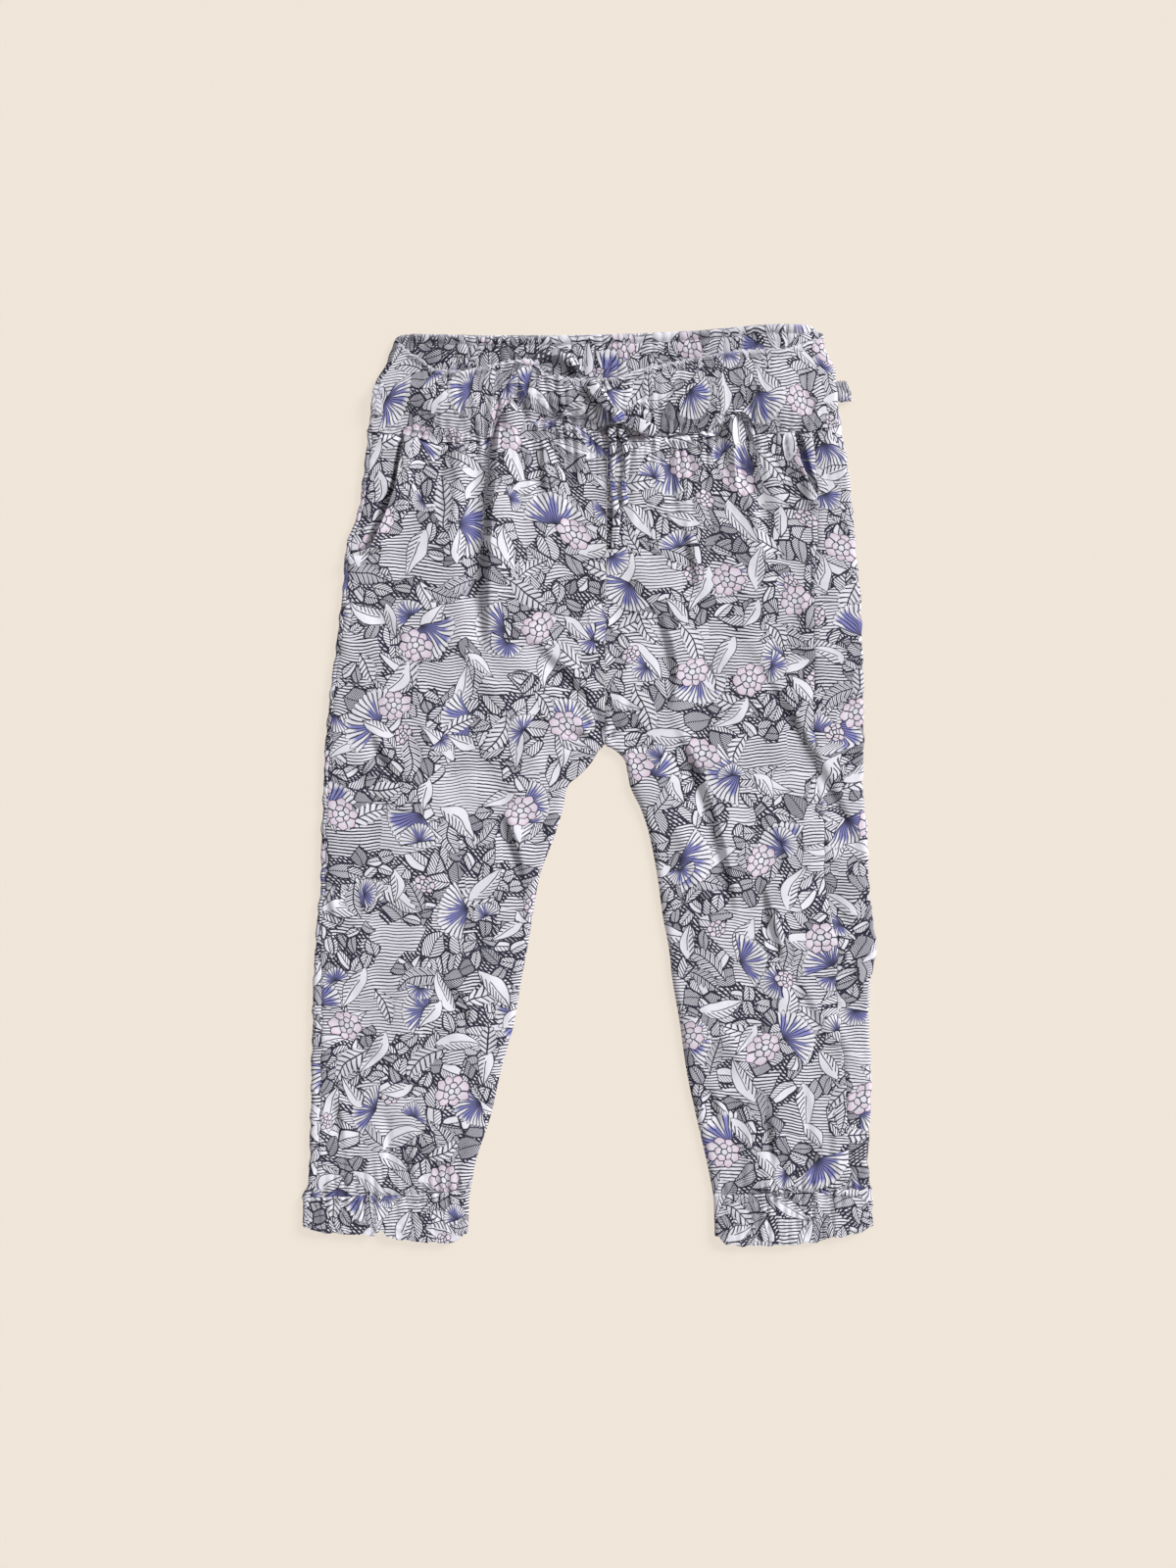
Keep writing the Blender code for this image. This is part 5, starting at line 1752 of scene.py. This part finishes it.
def stitch_row(name, path):
    """Stitches along a path of points in mm."""
    runs = run_along(path[None])[0]
    along = np.linspace(0.0, 1.0, 6)
    around = np.linspace(0.0, math.tau, 7)[:-1]
    full = np.sqrt(np.clip(1.0 - (2.0 * along - 1.0) ** 4, 0.05, 1.0))
    sides = len(around)
    verts = []
    faces = []
    for start in np.arange(0.0, runs[-1] - STITCH_LENGTH, STITCH_LENGTH + STITCH_GAP):
        at = start + along * STITCH_LENGTH
        spine = np.stack([np.interp(at, runs, path[:, k]) for k in range(3)], axis=-1)
        aside = unit(np.cross(UP, unit(spine[-1] - spine[0])))
        first = len(verts)
        for centre, size in zip(spine, full):
            lift = UP * (STITCH_RADIUS * (size - 0.45))
            for angle in around:
                ring = aside * math.cos(angle) + UP * math.sin(angle)
                verts.append(centre + lift + ring * STITCH_RADIUS * size)
        for i in range(len(along) - 1):
            for j in range(sides):
                a = first + i * sides + j
                b = first + i * sides + (j + 1) % sides
                faces.append((a, a + sides, b + sides, b))
        faces.append(tuple(range(first, first + sides)))
        faces.append(tuple(range(len(verts) - 1, len(verts) - 1 - sides, -1)))
    mesh = bpy.data.meshes.new(name)
    mesh.from_pydata((np.array(verts) * MM).tolist(), [], faces)
    return link(mesh, name, thread_material)


def band_path(from_top):
    x = np.linspace(-104.0, 124.0, 400)
    level = STITCH_INSET / (front_edge(x) - waist_seam(x))
    level = 1.0 - level if from_top else level
    y = band_front_y(x, level)
    inside = (x > side_right(y) + 4.0) & (x < side_left(y) - 4.0)
    return np.stack([x, y, band_height(x, y, level)], axis=-1)[inside]


def back_band_path():
    x = np.linspace(-92.0, 112.0, 400)
    y = back_edge(x) - STITCH_INSET
    level = 1.0 - STITCH_INSET / (back_edge(x) - back_waist(x))
    return np.stack([x, y, BAND_CLOTH + back_band_height(x, y, level)], axis=-1)


def pocket_path(table, pocket, inward):
    y = np.linspace(table[0][0] + 2.0, 176.0, 160)
    x = pocket(y) + inward * 4.5
    return np.stack([x, y, plain_height(x, y) + pocket_lip(x, y)], axis=-1)


def cuff_path(outer, inner, seam):
    toward = 1.0 if outer(0.0) < 0.0 else -1.0
    x = np.linspace(outer(NOMINAL_HEM) + toward * 6.0, inner(NOMINAL_HEM) - toward * 6.0, 160)
    y = seam(x) - STITCH_INSET
    return np.stack([x, y, cuff_height(x, y, STITCH_INSET / CUFF_HEIGHT)], axis=-1)


STITCH_PATHS = {
    "stitches_band_edge": band_path(True),
    "stitches_band_seam": band_path(False),
    "stitches_band_inside": back_band_path(),
    "stitches_pocket_right": pocket_path(RIGHT_POCKET, right_pocket, 1.0),
    "stitches_pocket_left": pocket_path(LEFT_POCKET, left_pocket, -1.0),
    "stitches_cuff_right": cuff_path(side_right, inner_right, right_hem_seam),
    "stitches_cuff_left": cuff_path(side_left, inner_left, left_hem_seam),
}
stitches = [stitch_row(name, path) for name, path in STITCH_PATHS.items()]
print("stitch rows:", len(stitches))

# %% [markdown]
# ## What each piece stands for
#
# The garment is one soft body, so every piece rides on the frame's root. Each piece of cloth hides the
# plain solid that it stands for, and says how large its flat cut is. A band is one ring of cloth that
# stands for two solids, a front one and a back one.

# %% Ride and replace
BAND_SOLIDS = {
    "waistband": ("waistband_front", "waistband_back"),
    "cuff_right": ("cuff_front_right", "cuff_back_right"),
    "cuff_left": ("cuff_front_left", "cuff_back_left"),
}
# Least length of each side of a flat cut, in metres
LEAST_SHEET = 0.0101

sheets = [front_right, front_left, back_right, back_left, pocket_right, pocket_left]
sheets += [waistband, cuff_right, cuff_left, *tails, *loops, *carriers]
for piece in sheets:
    name = piece.name.removesuffix("_cloth")
    wide, long, area = (value * MM for value in piece["cut_mm"])
    flat = (max(wide, LEAST_SHEET), max(long, LEAST_SHEET))
    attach(piece, "root")
    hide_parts(*BAND_SOLIDS.get(name, (name,)))
    area * MM
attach(knot, "root")
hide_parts("tie_knot")
for row in stitches:
    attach(row, "root")
print("pieces:", len(sheets) + 1 + len(stitches))

# %% [markdown]
# ## Surface, light and camera
#
# The pants lie on a pale light table: its sheet glows a little from below, which keeps their shadow
# faint. One soft light comes low from the upper right, so that each fold throws a short shade, and the
# room fills the shadows. The camera looks straight down.

# %% Surface
PAPER = np.array((0.80, 0.725, 0.64))
LIT_SHARE = 0.86
PAPER_GLOW = 1.083
PAPER_BELOW = 0.0003

bpy.ops.mesh.primitive_plane_add(size=6.0, location=(0.0, 0.0, -PAPER_BELOW))
surface = bpy.context.object
surface.name = "pale_surface"
paper, _, paper_shader = new_material("pale_paper")
paper_shader.inputs["Base Color"].default_value = (*(PAPER * (1.0 - LIT_SHARE)), 1.0)
paper_shader.inputs["Emission Color"].default_value = (*PAPER, 1.0)
paper_shader.inputs["Emission Strength"].default_value = LIT_SHARE * PAPER_GLOW
paper_shader.inputs["Roughness"].default_value = 0.95
paper_shader.inputs["Specular IOR Level"].default_value = 0.0
surface.data.materials.append(paper)

# %% Light
SUN_AZIMUTH = 36.0
SUN_ELEVATION = 34.0
SUN_POWER = 4.0
SUN_SOFTNESS = 24.0
ROOM_LIGHT = 0.375

scene = bpy.context.scene
sun_data = bpy.data.lights.new("soft_sun", "SUN")
sun_data.energy = SUN_POWER
sun_data.angle = math.radians(SUN_SOFTNESS)
sun = bpy.data.objects.new("soft_sun", sun_data)
sun.rotation_euler = (math.radians(90.0 - SUN_ELEVATION), 0.0, math.radians(SUN_AZIMUTH + 90.0))
scene.collection.objects.link(sun)

world = bpy.data.worlds.new("soft_room")
world.use_nodes = True
world.node_tree.nodes["Background"].inputs["Color"].default_value = (1.0, 1.0, 1.0, 1.0)
world.node_tree.nodes["Background"].inputs["Strength"].default_value = ROOM_LIGHT
scene.world = world
scene.view_settings.view_transform = "Standard"

# %% Camera
FOCAL_LENGTH = 85.0
SENSOR = 36.0
FRAME_HEIGHT = 0.8
FRAME_CENTRE = (-0.00075, 0.00075)

camera_data = bpy.data.cameras.new("straight_down")
camera_data.lens = FOCAL_LENGTH
camera_data.sensor_width = SENSOR
camera_data.sensor_height = SENSOR
camera_data.sensor_fit = "VERTICAL"
camera = bpy.data.objects.new("straight_down", camera_data)
camera.location = (*FRAME_CENTRE, FRAME_HEIGHT * FOCAL_LENGTH / SENSOR)
scene.collection.objects.link(camera)
scene.camera = camera
